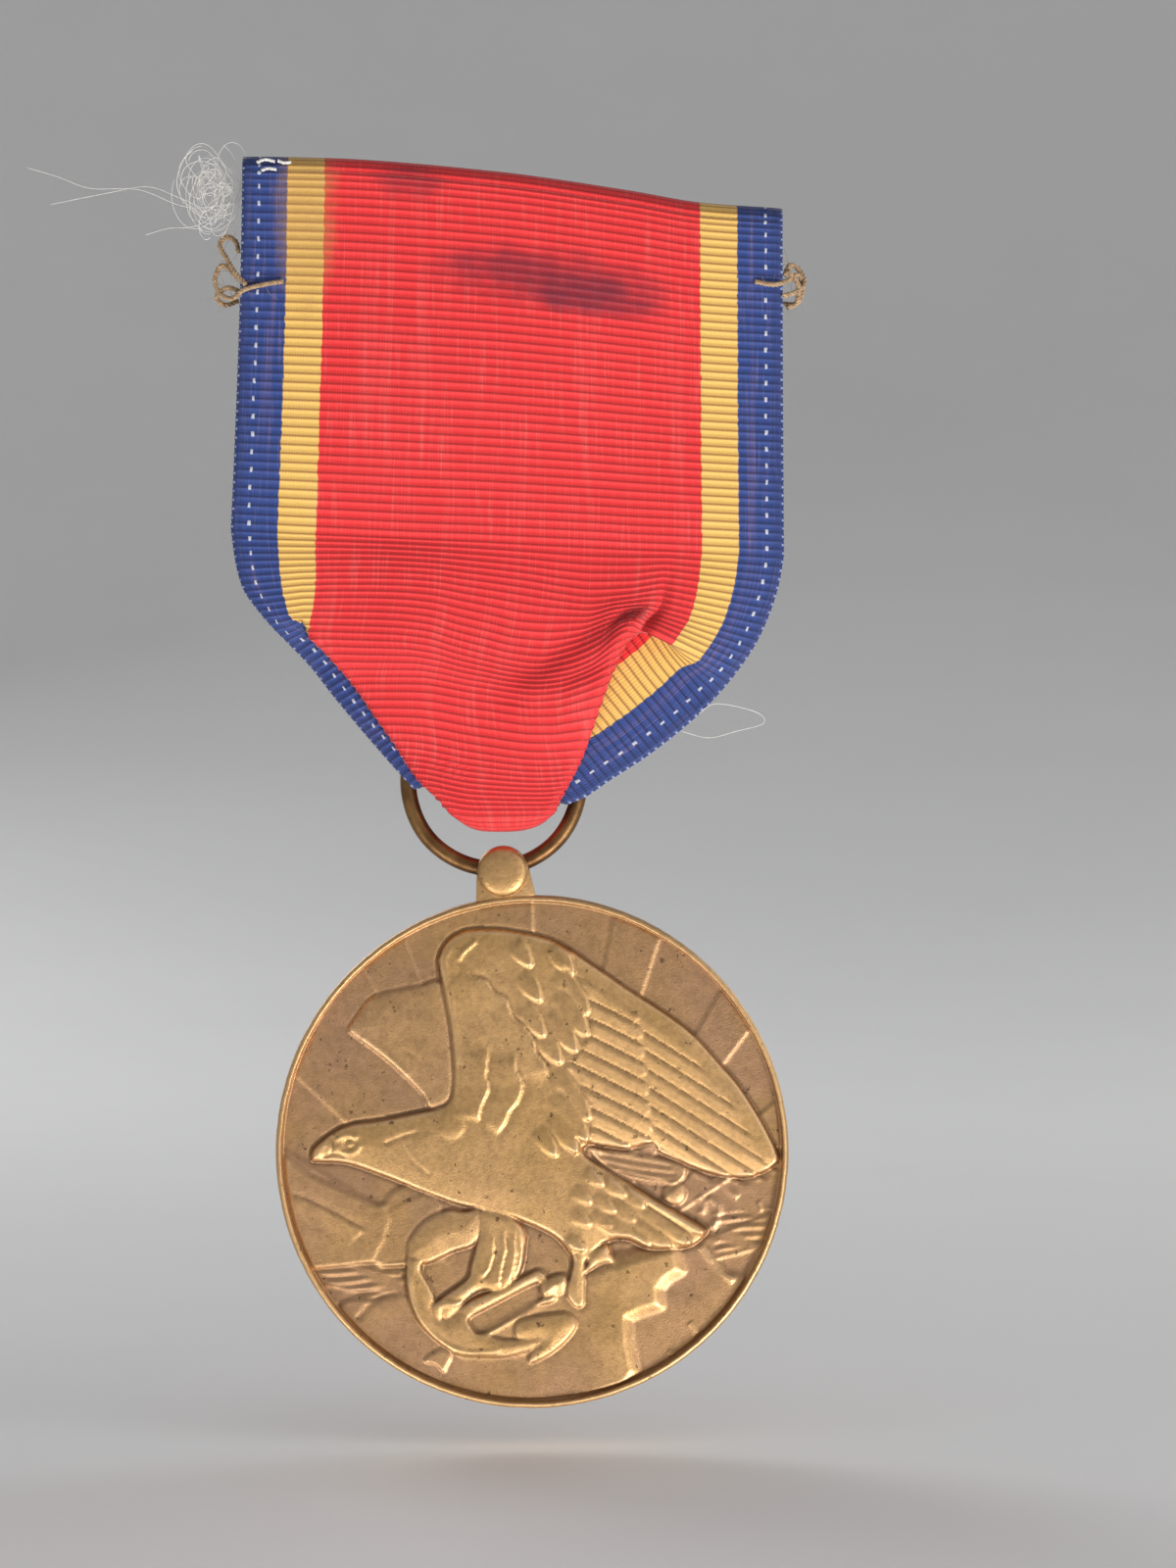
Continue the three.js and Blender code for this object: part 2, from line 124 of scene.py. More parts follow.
def to_line(place, line):
    """For each place: distance to the line, side (+1 to its left), and how far along it is, from 0 to 1."""
    best = np.full(len(place), 1e9)
    side = np.ones(len(place))
    along = np.zeros(len(place))
    steps = np.linalg.norm(np.diff(line, axis=0), axis=1)
    travelled = np.concatenate([[0], np.cumsum(steps)])
    for i in range(len(line) - 1):
        a, d = line[i], line[i + 1] - line[i]
        length_squared = max(d @ d, 1e-12)
        t = np.clip(((place - a) @ d) / length_squared, 0, 1)
        gap = place - a - t[:, None] * d
        distance = np.hypot(gap[:, 0], gap[:, 1])
        near = distance < best
        best[near] = distance[near]
        side[near] = np.sign(d[0] * (place[near, 1] - a[1]) - d[1] * (place[near, 0] - a[0]))
        along[near] = (travelled[i] + t[near] * steps[i]) / travelled[-1]
    return best, side, along


def inside_depth(place, outline):
    """Signed distance to a closed outline, positive inside."""
    ring = np.vstack([outline, outline[:1]])
    distance, _, _ = to_line(place, ring)
    inside = np.zeros(len(place), bool)
    for a, b in zip(ring[:-1], ring[1:]):
        crosses = (a[1] > place[:, 1]) != (b[1] > place[:, 1])
        rise = b[1] - a[1] if abs(b[1] - a[1]) > 1e-9 else 1e-9
        inside ^= crosses & (place[:, 0] < a[0] + (place[:, 1] - a[1]) * (b[0] - a[0]) / rise)
    return np.where(inside, distance, -distance)


def smoothstep(x):
    """Eases from 0 to 1 while x goes from 0 to 1."""
    x = np.clip(x, 0, 1)
    return x * x * (3 - 2 * x)


# ---- The relief, drawn in the medal's own plane ----
# x is to the right, the second number up, from the disc's centre. Heights are above the sunk field.

FIELD_RADIUS = DISC_RADIUS - 0.42

EAGLE = [
    (-13.6, 0.9), (-13.4, 1.6), (-12.2, 2.4), (-11, 2.8), (-9, 2.9), (-5.9, 3.2), (-5, 3.4), (-4.5, 4),
    (-4.25, 5.5), (-4.2, 8), (-4.35, 10), (-4.55, 12), (-4.4, 12.7), (-3.8, 13.5), (-2.8, 13.95),
    (-1.5, 13.95), (0, 13.7), (2.7, 12.8), (5, 11), (7, 9.3), (9, 7.7), (10.6, 6.2), (12, 4.3), (13, 2.9),
    (14, 1), (15, -1.5), (14.9, -2.3), (13.5, -2.9), (12, -2.8), (10, -2.1), (8, -0.9), (7.3, -0.2),
    (6, -0.4), (4.5, -0.1), (3.4, 0.1), (3.2, -0.6), (5, -2), (7.5, -3.9), (10, -5.7), (10.1, -6.2),
    (9.2, -6.8), (8, -6.9), (6.5, -6.7), (5.3, -6), (4, -6), (2.7, -6.9), (2.4, -8), (2.1, -9.8),
    (1.3, -8.9), (1.8, -7.1), (1.5, -6.2), (0.9, -5.4), (-0.1, -4.7), (-2, -3.7), (-3.5, -3.2), (-5, -2.7),
    (-7, -1.7), (-9.5, -0.4), (-11.5, 0.5), (-13.3, 0.8),
]
LEFT_LEG = [
    (-3.4, -3.1), (-3.7, -4.5), (-4.1, -5.6), (-4.5, -6.6), (-4.9, -7.5), (-6.8, -8.6), (-6.9, -9.3),
    (-6.4, -9.8), (-5.8, -9.4), (-5, -8.7), (-4, -8.2), (-2.8, -8.4), (-1.9, -7.8), (-1.4, -7.1),
    (-1.1, -6), (-1, -4.9), (-1.9, -3.7),
]
TOES = [
    [
        (2.3, -7.9), (2.7, -7.2), (2.7, -6.7), (3.9, -6.2), (4.2, -6.9), (4.4, -7.7), (4.1, -7.3),
        (3.3, -7.4),
    ],
    [(1.2, -8.9), (1.4, -9.5), (1.8, -9.9), (2.2, -9.7), (2.3, -8.8), (2.4, -8.1), (1.7, -8)],
    [(-5.2, -8.7), (-6.3, -8.5), (-7, -8.7), (-7.1, -9.2), (-6.8, -9.8), (-6.5, -9.2), (-5.6, -9.1)],
]
FAR_WING = [
    (-4.4, 10.8), (-6, 10.85), (-8, 10.7), (-9, 10.4), (-9.7, 9.7), (-10.45, 8.8), (-10.35, 8.4),
    (-9.3, 7.5), (-8, 6.2), (-7, 5), (-6.4, 4.2), (-5.9, 3.3), (-4.2, 3.6), (-3.9, 7),
]
ANCHOR_PALM = [
    (-8.2, -4.9), (-7.7, -4.2), (-7, -3.6), (-6.2, -3.25), (-5.4, -3.1), (-4.6, -3.3), (-3.6, -3.2),
    (-3.6, -4.3), (-4.2, -5.3), (-5.4, -5.6), (-6.4, -5.9), (-7.2, -6.15), (-7.9, -5.9), (-8.3, -5.7),
]
ANCHOR_ARM = [
    (-8, -5.2), (-8.4, -5.9), (-8.6, -7), (-8.55, -8.2), (-8.2, -9.6), (-7.5, -10.6), (-6.6, -11.5),
    (-6, -12), (-4.5, -12.25), (-3, -12.4), (-1.5, -12.2), (0, -11.8), (0.8, -11.2), (-0.6, -11.3),
    (-2.3, -11.5), (-3.6, -11.2), (-4.6, -10.2), (-5.4, -9.6), (-6.5, -9.7), (-6.9, -9), (-7, -8.2),
    (-7.3, -7.4), (-7.6, -6.7), (-7.5, -6), (-7.6, -5.4),
]
ANCHOR_SHANK = [
    (-6.4, -9.8), (-5.2, -9), (-3.2, -8.3), (-1.4, -7.7), (-0.3, -7.4), (0.2, -8.3), (0.4, -9.3),
    (-1, -9.5), (-2.2, -10.2), (-3.6, -10.9), (-5, -11.6), (-6, -11.2),
]
ANCHOR_CROWN = [(-8, -12.2), (-7.3, -12.5), (-6.9, -13), (-6.6, -12.6), (-6.3, -12), (-7, -11.6)]
ANCHOR_FLUKE = [
    (-2.2, -10.8), (-1.9, -10.4), (-1.2, -10.25), (0, -10.15), (1, -10.2), (1.5, -10.6), (1.55, -11.1),
    (0.8, -11.9), (-0.3, -12.6), (-1.5, -13), (-1.3, -12.3), (-0.6, -11.7), (-2.1, -11.4),
]
ANCHOR_SLOT = [
    (-4.95, -10.3), (-4.9, -9.8), (-3.5, -9.2), (-1.5, -8.4), (-0.5, -8.1), (-0.3, -8.6), (-0.4, -9.2),
    (-3, -10.5), (-4.4, -10.9),
]
SHACKLE = [(-0.4, -8.6), (-0.2, -8.1), (0.6, -7.8), (1.3, -7.9), (1.2, -8.8), (0.3, -9), (-0.3, -9)]
UNDERTAIL = [
    (3.5, -0.2), (4.6, -0.4), (6.2, -0.8), (8.2, -1.4), (9.3, -2), (9.2, -2.6), (8.6, -2.9), (7.6, -2.8),
    (6.2, -2.4), (4.6, -1.6),
]
CLIFF = [
    (-16.5, 2.2), (-15.6, 1.6), (-14, 0), (-13, -0.6), (-11, -1.7), (-10, -2.3), (-9.4, -2.3), (-9.2, -3.2),
    (-9.8, -4.6), (-10.6, -5.8), (-16.5, -5.8),
]
CLIFF_STEP = [(-15.2, -1), (-13.5, -2), (-12, -3), (-11, -3.7), (-10.8, -4)]
HILL = [(-10.4, -5.8), (-9.5, -2.5), (-9, -1.7), (-8.3, -1.35), (-7.6, -1.3), (-6.6, -1.8), (-6, -5.8)]
NEAR_HILL = [
    (-10.6, -5.8), (-9.9, -3.6), (-9.4, -2.9), (-8.5, -2.4), (-7.5, -2.1), (-6.3, -2.1), (-6, -5.8),
]
GROUND = [
    (-12.9, -8.5), (-10.5, -8.1), (-9, -7.9), (-7, -9.2), (-3, -8.6), (1, -8.2), (4.4, -7.6), (8, -7),
    (8.6, -7), (9.7, -6.8), (10.3, -7.8), (11, -8.7), (12.4, -9.6), (12, -14), (0, -17), (-12, -14),
]
ROCK_LEDGE = [
    (1.5, -7.4), (8.2, -6.6), (8.4, -8.3), (7.5, -8.75), (6.95, -9.3), (6.9, -10.35), (5.5, -10.65),
    (4.8, -10.9), (4.75, -12.5), (4.95, -14.2), (3, -16.5), (-7, -16.5), (-7, -8),
]
ROCK_SLOPE_WIDTH = 0.95

WING_CREASES = [
    [
        (-3.3, 12), (-2.9, 11.9), (-2.6, 11.2), (-1.8, 10.9), (-1.3, 10.1), (-0.6, 9.6), (-0.3, 8.4),
        (0.3, 7.8), (0.8, 7), (0.9, 6.1), (1.4, 5.2), (1.5, 4.2),
    ],
    [(-2, 6.9), (-2.1, 6), (-2.3, 4.9), (-2.2, 4.2), (-2.8, 3.1), (-3.1, 2.1)],
    [(-0.4, 6.4), (-0.4, 5.2), (-0.1, 4.2), (-0.5, 3.2), (-1.1, 2.6), (-1.5, 1.9), (-2.2, 1.2)],
]
WING_SHOULDER = [(-3.3, 12.2), (-3, 12.7), (-2, 13.4)]
# Feathers that lie over one another like scales, from the lowest layer up: tip, length and width.
WING_FEATHERS = [
    ((3.7, 10.6), 2.4, 1.2), ((4.35, 8.1), 3.4, 1.25), ((4.15, 6.8), 3.5, 1.25), ((3.4, 5.85), 3.2, 1.2),
    ((2.35, 5.25), 2.6, 1.15), ((3.75, 1.6), 3.9, 1.15), ((3.5, 0.3), 3.8, 1.15), ((2.8, -0.35), 3, 1.1),
    ((1.45, -0.4), 2.2, 1), ((1.15, 11.4), 2, 1.2), ((1.5, 9.2), 2.3, 1.2), ((1.5, 7), 2.5, 1.2),
]
TAIL_FEATHERS = [
    ((10.15, -6.15), 5.6, 0.8), ((9.2, -6.75), 5.3, 0.8), ((8, -6.9), 4.6, 0.85), ((6.7, -6.75), 3.8, 0.85),
    ((5.4, -6.05), 3, 0.9), ((6.6, -4.1), 1.9, 0.9), ((5.9, -4.9), 1.9, 0.9), ((5.5, -3.3), 1.8, 0.9),
    ((4.7, -4.2), 1.8, 0.9), ((4.4, -5.1), 1.7, 0.9), ((3.1, -4.9), 1.6, 0.9), ((4.2, -2.5), 1.6, 0.9),
    ((3.3, -3.5), 1.6, 0.9), ((2.6, -6.4), 1.5, 0.8),
]
LEG_FEATHERS = [
    [(-2.2, -4.6), (-2.2, -5.8), (-2.6, -7), (-2.9, -8.2)],
    [(-1.6, -4.8), (-1.6, -6), (-1.9, -7.2), (-2.2, -8)],
    [(-2.9, -4.8), (-3, -6), (-3.4, -7), (-4, -7.5)],
]
WING_LEADING_EDGE = [
    (2.7, 12.8), (5, 11), (7, 9.3), (9, 7.7), (10.6, 6.2), (12, 4.3), (13, 2.9), (14, 1), (15, -1.5),
]
FEATHER_ZONE = [
    (2.9, 12.2), (3.6, 10.9), (4.4, 9), (4.3, 7), (3.4, 5.8), (2.7, 5), (3.4, 3.6), (3.9, 2), (3.6, 0.6),
    (3.3, -0.2), (6, -0.9), (7.3, -0.7), (10, -2.7), (13.5, -3.4), (15.4, -2.3), (15.3, -1), (13.4, 3.2),
    (10.9, 6.6), (7.2, 9.9), (4.5, 12),
]

# The bird's height above the field, and how much of it is the rounding towards its middle.
EAGLE_TOP, EAGLE_CROWN = 0.39, 0.11
RELIEF_SCALE = 1.3


class Relief:
    """Heights over scattered places, built up one shape on another."""

    def __init__(self, place):
        self.place = place
        self.height = np.zeros(len(place))

    def lay(self, outline, height, edge=0.16, crown=0.0, crown_width=1.2, smooth=True, undercut=0.01):
        """A shape with rounded shoulders, a crown towards its middle and a fine sunk line round it."""
        line = smooth_line(outline, closed=True) if smooth else np.array(outline, float)
        depth = inside_depth(self.place, line)
        cover = smoothstep(depth / edge + 0.5)
        top = height + crown * np.sin(np.clip(depth / crown_width, 0, 1) * math.pi / 2)
        self.height = self.height * (1 - cover) + top * cover
        self.height -= undercut * np.exp(-(((depth + 0.13) / 0.12) ** 2))
        return depth

    def feather_edge(self, line, lip, dip, reach, fall):
        """A free edge that stands over what lies past it: a lip on its near side, a dip on its far side."""
        distance, side, along = to_line(self.place, smooth_line(line))
        ends = smoothstep(along / 0.18) * smoothstep((1 - along) / 0.10)
        near = lip * np.exp(-((distance / reach) ** 2)) * smoothstep(distance / 0.07 + 0.3)
        far = -dip * np.exp(-((distance / fall) ** 2))
        self.height += ends * np.where(side < 0, near, far)

    def feathers(self, table, heading, root_height, lift, allowed):
        """Tongues with rounded tips, highest at the free edge and sinking into the skin at the root."""
        ahead = np.array(heading) / np.linalg.norm(heading)
        for tip, length, width in table:
            gap = self.place - tip
            back, off = -(gap @ ahead), gap @ [-ahead[1], ahead[0]]
            half = width / 2 * np.sqrt(np.clip(back / width, 0, 1))
            cover = smoothstep((half - np.abs(off)) / 0.16 + 0.5)
            cover = cover * smoothstep((length - back) / 0.5) * allowed
            rise = np.sqrt(np.clip(1 - back / length, 0, 1))
            spread = off / width
            top = root_height + lift * rise * (1 - 1.1 * spread**2 + 0.25 * spread)
            cover = cover * (back > 0)
            self.height = self.height * (1 - cover) + top * cover

    def groove(self, line, depth, width):
        distance, _, along = to_line(self.place, smooth_line(line))
        ends = smoothstep(along / 0.08) * smoothstep((1 - along) / 0.08)
        self.height -= depth * ends * np.exp(-((distance / width) ** 2))

    def ridge(self, line, height, width):
        self.groove(line, -height, width)

    def ridges(self, table):
        """Fine raised lines, each with its height and width. A negative height sinks the line."""
        for height, width, line in table:
            self.ridge(line, height, width)

    def dome(self, centre, radius, height):
        gap = np.hypot(self.place[:, 0] - centre[0], self.place[:, 1] - centre[1]) / radius
        self.height += height * np.sqrt(np.clip(1 - gap**2, 0, 1))


def add_sun_rays(relief):
    """Broad wedges that spread from a point low on the disc, each edged with a fine raised line."""
    centre = np.array([-0.5, -9.5])
    pitch = math.radians(19.2)
    first = math.radians(1.2)
    half = math.radians(3.65)
    line_width = 0.12
    gap = relief.place - centre
    reach = np.hypot(gap[:, 0], gap[:, 1])
    turn = np.arctan2(gap[:, 0], gap[:, 1]) - first
    off = np.abs(turn - pitch * np.round(turn / pitch))
    to_edge = (half - off) * reach
    fade = smoothstep((reach - 5) / 4)
    relief.height += 0.05 * fade * smoothstep(to_edge / 0.2 + 0.5)
    relief.height += 0.012 * fade * np.exp(-((to_edge / line_width) ** 2))


def add_scenery(relief):
    """Cliff and hills at the left, water at both sides, and rocks along the foot."""
    x, z = relief.place[:, 0], relief.place[:, 1]
    relief.lay(HILL, 0.09, edge=0.35, undercut=0)
    relief.lay(NEAR_HILL, 0.12, edge=0.35, undercut=0)
    relief.lay(CLIFF, 0.16, edge=0.35, smooth=False, undercut=0)
    relief.feather_edge(CLIFF_STEP, 0.05, 0.04, 0.8, 0.4)
    sea = smoothstep((-5.8 - z) / 0.12) * smoothstep((z + 10) / 0.6)
    at_left = smoothstep((-8.2 - x) / 0.5)
    at_right = smoothstep((x - 10.4) / 0.5)
    right_sea = smoothstep((-4.9 - z) / 0.2) * smoothstep((z + 7.6) / 0.3)
    broken = smoothstep((np.sin(x * 1.7 + z * 2.3) + 0.9) / 1.2)
    swell = 0.03 * np.sin(z * 11 + 1.2 * np.sin(x * 0.9)) * broken
    relief.height += (at_left * sea + at_right * right_sea) * swell
    relief.lay(GROUND, 0.10, edge=0.35, undercut=0)
    # A plateau that rises slowly towards the right and ends in a broad sloping facet.
    ledge = smoothstep(inside_depth(relief.place, np.array(ROCK_LEDGE)) / ROCK_SLOPE_WIDTH + 0.5)
    relief.height += 0.26 * ledge * smoothstep((x - 0.5) / 4.5) * smoothstep((-6.4 - z) / 0.5)
    relief.ridges([
        (0.09, 0.2, [(9.7, -6.8), (10.3, -7.8), (11, -8.7), (11.6, -9.4)]),
        (0.07, 0.15, [(8.6, -11.5), (9, -12.3)]),
        (0.05, 0.12, [(7, -13.2), (7.5, -13.4)]),
        (-0.04, 0.2, [(-9, -7.9), (-10.5, -8.1), (-12, -9.3)]),
    ])
    # Undulating ground, from a few slow waves.
    ground = smoothstep((-8.2 - z) / 1.0)
    relief.height += 0.022 * ground * np.sin(x * 0.9 + 1.0) * np.sin(z * 1.3 + x * 0.4)


def add_anchor(relief):
    """The curved arm with its palm and crown, the shank's slot, the shackle and the lower fluke."""
    relief.lay(ANCHOR_CROWN, 0.18, edge=0.22)
    relief.lay(ANCHOR_SHANK, 0.22, edge=0.2)
    relief.lay(ANCHOR_ARM, 0.23, edge=0.18, crown=0.08, crown_width=0.8)
    relief.lay(ANCHOR_PALM, 0.22, edge=0.2, crown=0.10, crown_width=1.6)
    relief.ridges([
        (0.07, 0.16, [(-8.3, -6.4), (-8.35, -8), (-7.9, -9.6), (-6.9, -11), (-5.4, -11.9), (-3, -12.1)]),
        (0.06, 0.12, [(-6.0, -12.1), (-4.4, -12.35), (-2.4, -12.45), (-0.8, -12.1)]),
    ])
    relief.lay(ANCHOR_SLOT, 0.04, edge=0.2)
    relief.ridges([
        (0.05, 0.3, [(-4.9, -9.3), (-3, -8.6), (-1.2, -7.9), (-0.4, -7.7)]),
        (0.05, 0.25, [(-4.3, -11.0), (-2.8, -10.4), (-1.2, -9.7), (-0.2, -9.3), (0.9, -9.0)]),
    ])
    relief.lay(ANCHOR_FLUKE, 0.24, edge=0.25, crown=0.08, crown_width=1.0)
    relief.lay(SHACKLE, 0.18, edge=0.2, crown=0.05, crown_width=0.4)
    relief.dome((0.1, -8.55), 0.5, 0.05)
    relief.ridge([(-0.2, -8.9), (0.4, -8.4), (1.3, -8.2)], 0.06, 0.2)


def add_behind_bird(relief):
    """What shows between the near wing and the tail: under-tail feathers, a ball, links and a wave."""
    relief.lay(UNDERTAIL, 0.14, edge=0.16)
    relief.ridges([
        (-0.05, 0.1, [(4.0, -0.6), (6.0, -1.2), (8.6, -1.9)]),
        (-0.05, 0.1, [(4.2, -1.1), (6.2, -1.8), (8.8, -2.4)]),
        (-0.05, 0.1, [(5.0, -1.7), (6.6, -2.3), (8.0, -2.8)]),
    ])
    relief.dome((8.5, -3.5), 0.75, 0.2)
    relief.ridges([
        (0.07, 0.2, [(9.9, -3.8), (10.2, -4.4), (10.0, -5.0)]),
        (0.08, 0.2, [(10.5, -3.9), (11.1, -4.6), (10.9, -5.4), (10.5, -6.0)]),
        (0.06, 0.22, [(11.5, -2.9), (11.8, -3.6), (12.4, -4.2)]),
        (0.06, 0.1, [(13.6, -4.5), (13.7, -5.2)]),
    ])


def add_flight_feathers(relief):
    """The long feathers of the near wing in two tiers, each feather stepped up over the one above it."""
    pitch, tier_x = 1.17, 7.3
    x, z = relief.place[:, 0], relief.place[:, 1]
    zone = smoothstep(inside_depth(relief.place, smooth_line(FEATHER_ZONE, closed=True)) / 0.3 + 0.3)
    to_leading_edge, _, _ = to_line(relief.place, smooth_line(WING_LEADING_EDGE))
    zone = zone * smoothstep((to_leading_edge - 0.9) / 0.25)
    past_tier = x - tier_x
    lane = (z + 0.71 * past_tier + 0.09 * np.sqrt(past_tier**2 + 1)) / pitch
    for offset, inner in ((0.02, False), (0.24, True)):
        share = lane - offset
        part = share - np.floor(share)
        # The step lies at the feather's upper edge (part 1), and its face sinks slowly towards part 0.
        face = (0.35 + 0.65 * part) * smoothstep((1 - part) / 0.32)
        tip = tier_x + 0.25 - 1.6 * (part - 0.6) ** 2
        reach = smoothstep((tip - x) / 0.16 + 0.5)
        shown = reach if inner else 1 - reach
        relief.height += zone * shown * (0.18 * (face - 0.6) + (0.05 if inner else 0))


def add_bird(relief):
    """The far wing, the leg behind, then the near wing, head, body and tail over them."""
    relief.lay(FAR_WING, 0.14, edge=0.22, crown=0.05)
    relief.ridges([
        (0.03, 0.3, [(-9.9, 8.2), (-8.2, 6.6), (-7.1, 5.3)]),
        (-0.025, 0.1, [(-7.4, 7.2), (-6.6, 6.6), (-6.1, 5.9)]),
    ])
    relief.lay(LEFT_LEG, 0.22, edge=0.16, crown=0.10, crown_width=0.6)
    for line in LEG_FEATHERS:
        relief.feather_edge(line, 0.05, 0.06, 0.3, 0.15)
    for toe in TOES:
        relief.lay(toe, 0.27, edge=0.16, crown=0.08, crown_width=0.35)
    shoulder = EAGLE_TOP - EAGLE_CROWN
    depth = relief.lay(EAGLE, shoulder, edge=0.2, crown=EAGLE_CROWN, crown_width=1.9, undercut=0.035)
    inside = smoothstep(depth / 0.2 - 0.2)
    add_flight_feathers(relief)
    relief.feathers(WING_FEATHERS, (0.5, -0.86), EAGLE_TOP - 0.03, 0.17, inside)
    for line in WING_CREASES:
        relief.feather_edge(line, 0.08, 0.03, 1.5, 0.35)
    relief.ridge(WING_SHOULDER, 0.07, 0.14)
    relief.feathers(TAIL_FEATHERS, (0.78, -0.63), EAGLE_TOP - 0.04, 0.15, inside)
    # A rounded leading edge, just inside the wing's outline.
    relief.ridges([
        (0.04, 0.2, [(-4, 5.5), (-3.95, 8), (-4.05, 10), (-4.2, 11.8), (-4, 12.7), (-3.4, 13.4)]),
        (0.035, 0.25, WING_LEADING_EDGE),
    ])


def add_head(relief):
    """Hooked beak, brow, eye in its socket and cheek, and the creases where the neck folds."""
    relief.dome((-11.2, 1.62), 0.45, -0.06)
    relief.dome((-11.12, 1.66), 0.2, 0.06)
    relief.ridges([
        (0.07, 0.16, [(-12.1, 1.95), (-11.6, 2.2), (-11.1, 2.22), (-10.6, 1.95)]),
        (0.05, 0.16, [(-11.7, 1.2), (-11.2, 1.08), (-10.75, 1.25), (-10.6, 1.6)]),
        (0.06, 0.22, [(-13.35, 0.95), (-13.15, 1.45), (-12.6, 1.9)]),
        (-0.06, 0.12, [(-12.45, 2.2), (-12.2, 1.75), (-12.35, 1.2)]),
        (-0.06, 0.1, [(-13.0, 1.0), (-12.2, 1.15), (-11.5, 0.9)]),
        (-0.05, 0.12, [(-9.1, 1.4), (-8, 1.75), (-6.8, 1.95)]),
        (-0.04, 0.12, [(-8.2, 1.7), (-7.6, 0.4), (-6.4, -0.9)]),
    ])
    relief.dome((-4.8, 2.2), 0.9, 0.06)


def front_heights(place):
    """The obverse: an eagle on an anchor before cliffs, sea and sun rays."""
    relief = Relief(place)
    add_sun_rays(relief)
    add_scenery(relief)
    add_anchor(relief)
    add_behind_bird(relief)
    add_bird(relief)
    add_head(relief)
    # Everything settles to the field where the rim begins.
    reach = np.hypot(place[:, 0], place[:, 1])
    return RELIEF_SCALE * relief.height * smoothstep((FIELD_RADIUS - reach) / 0.2)


def back_heights(place):
    """A generic reverse: a wreath of plain leaves round an empty field."""
    relief = Relief(place)
    wreath_radius = 11.2
    leaf_pairs, leaf_pitch, first_pair = 11, 14.6, -162
    leaf_lean, leaf_reach, half_length, half_width = 0.55, 1.25, 1.45, 0.62
    for side in (-1, 1):
        for i in range(leaf_pairs):
            turn = side * math.radians(leaf_pitch * i + first_pair)
            for lean in (-leaf_lean, leaf_lean):
                base = wreath_radius * np.array([math.sin(turn), math.cos(turn)])
                ahead = side * np.array([math.cos(turn), -math.sin(turn)])
                out = np.array([math.sin(turn), math.cos(turn)])
                direction = ahead * math.cos(lean) + out * math.sin(lean)
                across = np.array([-direction[1], direction[0]])
                gap = place - base - direction * leaf_reach
                along, off = gap @ direction / half_length, gap @ across / half_width
                size = np.clip(1 - along**2, 0, 1)
                leaf = np.sqrt(np.clip(size**2 - off**2, 0, 1))
                vein = np.exp(-((off / 0.16) ** 2)) * (size > 0.1)
                relief.height = np.maximum(relief.height, 0.2 * leaf - 0.05 * vein * (leaf > 0))
    reach = np.hypot(place[:, 0], place[:, 1])
    relief.height += 0.10 * np.exp(-(((reach - wreath_radius) / 0.22) ** 2))
    return relief.height * smoothstep((FIELD_RADIUS - reach) / 0.3)


# ---- Mesh building ----


def placed(name, data):
    """A new object in the scene that shows the data."""
    made = bpy.data.objects.new(name, data)
    bpy.context.scene.collection.objects.link(made)
    return made


def mesh_from(name, points, faces):
    """A mesh from points in millimetres."""
    mesh = bpy.data.meshes.new(name)
    mesh.from_pydata((np.asarray(points) * MM).tolist(), [], faces)
    mesh.update()
    return mesh


def mesh_piece(name, points, faces, body, values=None):
    """A smooth-shaded piece, with one float attribute for each entry of values."""
    mesh = mesh_from(name, points, faces)
    for key, numbers in (values or {}).items():
        attribute = mesh.attributes.new(key, "FLOAT", "POINT")
        attribute.data.foreach_set("value", np.asarray(numbers, np.float32))
    mesh.shade_smooth()
    piece = placed(name, mesh)
    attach(piece, body)
    return piece


def grid_faces(rows, columns, start=0, closed=False):
    """Quads over rows x columns of points numbered along the columns first."""
    spans = columns if closed else columns - 1
    row, column = np.meshgrid(np.arange(rows - 1), np.arange(spans), indexing="ij")
    here, below = row * columns, (row + 1) * columns
    following = (column + 1) % columns
    quads = np.stack([here + column, below + column, below + following, here + following], axis=-1)
    return (quads.reshape(-1, 4) + start).tolist()


def tube_points(path, radius, sides=6, taper=1.0):
    """Rings of points along a path, with the ring's frame carried along so that the tube doesn't twist."""
    path = np.asarray(path, float)
    ahead = np.gradient(path, axis=0)
    ahead /= np.maximum(np.linalg.norm(ahead, axis=1), 1e-9)[:, None]
    across = np.cross(ahead[0], [0.0, 1.0, 0.3])
    turn = np.arange(sides) / sides * 2 * math.pi
    rings = []
    for i, place in enumerate(path):
        across = across - ahead[i] * (across @ ahead[i])
        across /= max(np.linalg.norm(across), 1e-9)
        other = np.cross(ahead[i], across)
        size = radius * (1 + (taper - 1) * i / (len(path) - 1))
        rings.append(place + size * (np.cos(turn)[:, None] * across + np.sin(turn)[:, None] * other))
    return np.vstack(rings)


def tubes_piece(name, paths, body, radius, sides=6, taper=1.0):
    """Many closed tubes as one piece."""
    points, faces, count = [], [], 0
    for path in paths:
        rings = tube_points(path, radius, sides, taper)
        rows = len(path)
        points.append(rings)
        faces += grid_faces(rows, sides, count, closed=True)
        faces.append([count + i for i in range(sides)])
        faces.append([count + (rows - 1) * sides + i for i in reversed(range(sides))])
        count += rows * sides
    return mesh_piece(name, np.vstack(points), faces, body)


# ---- Disc ----

FRONT_CELLS = 252
BACK_CELLS = FRONT_CELLS // 2
FRONT_RECESS = 0.68
BACK_RECESS = 0.3
RIM_DENT = 0.016
# What the bronze takes the rim's height and its standing over its surroundings to be. The standing gives the
# whole rim a painted highlight.
RIM_HEIGHT, RIM_CAVITY = 0.5, 0.05


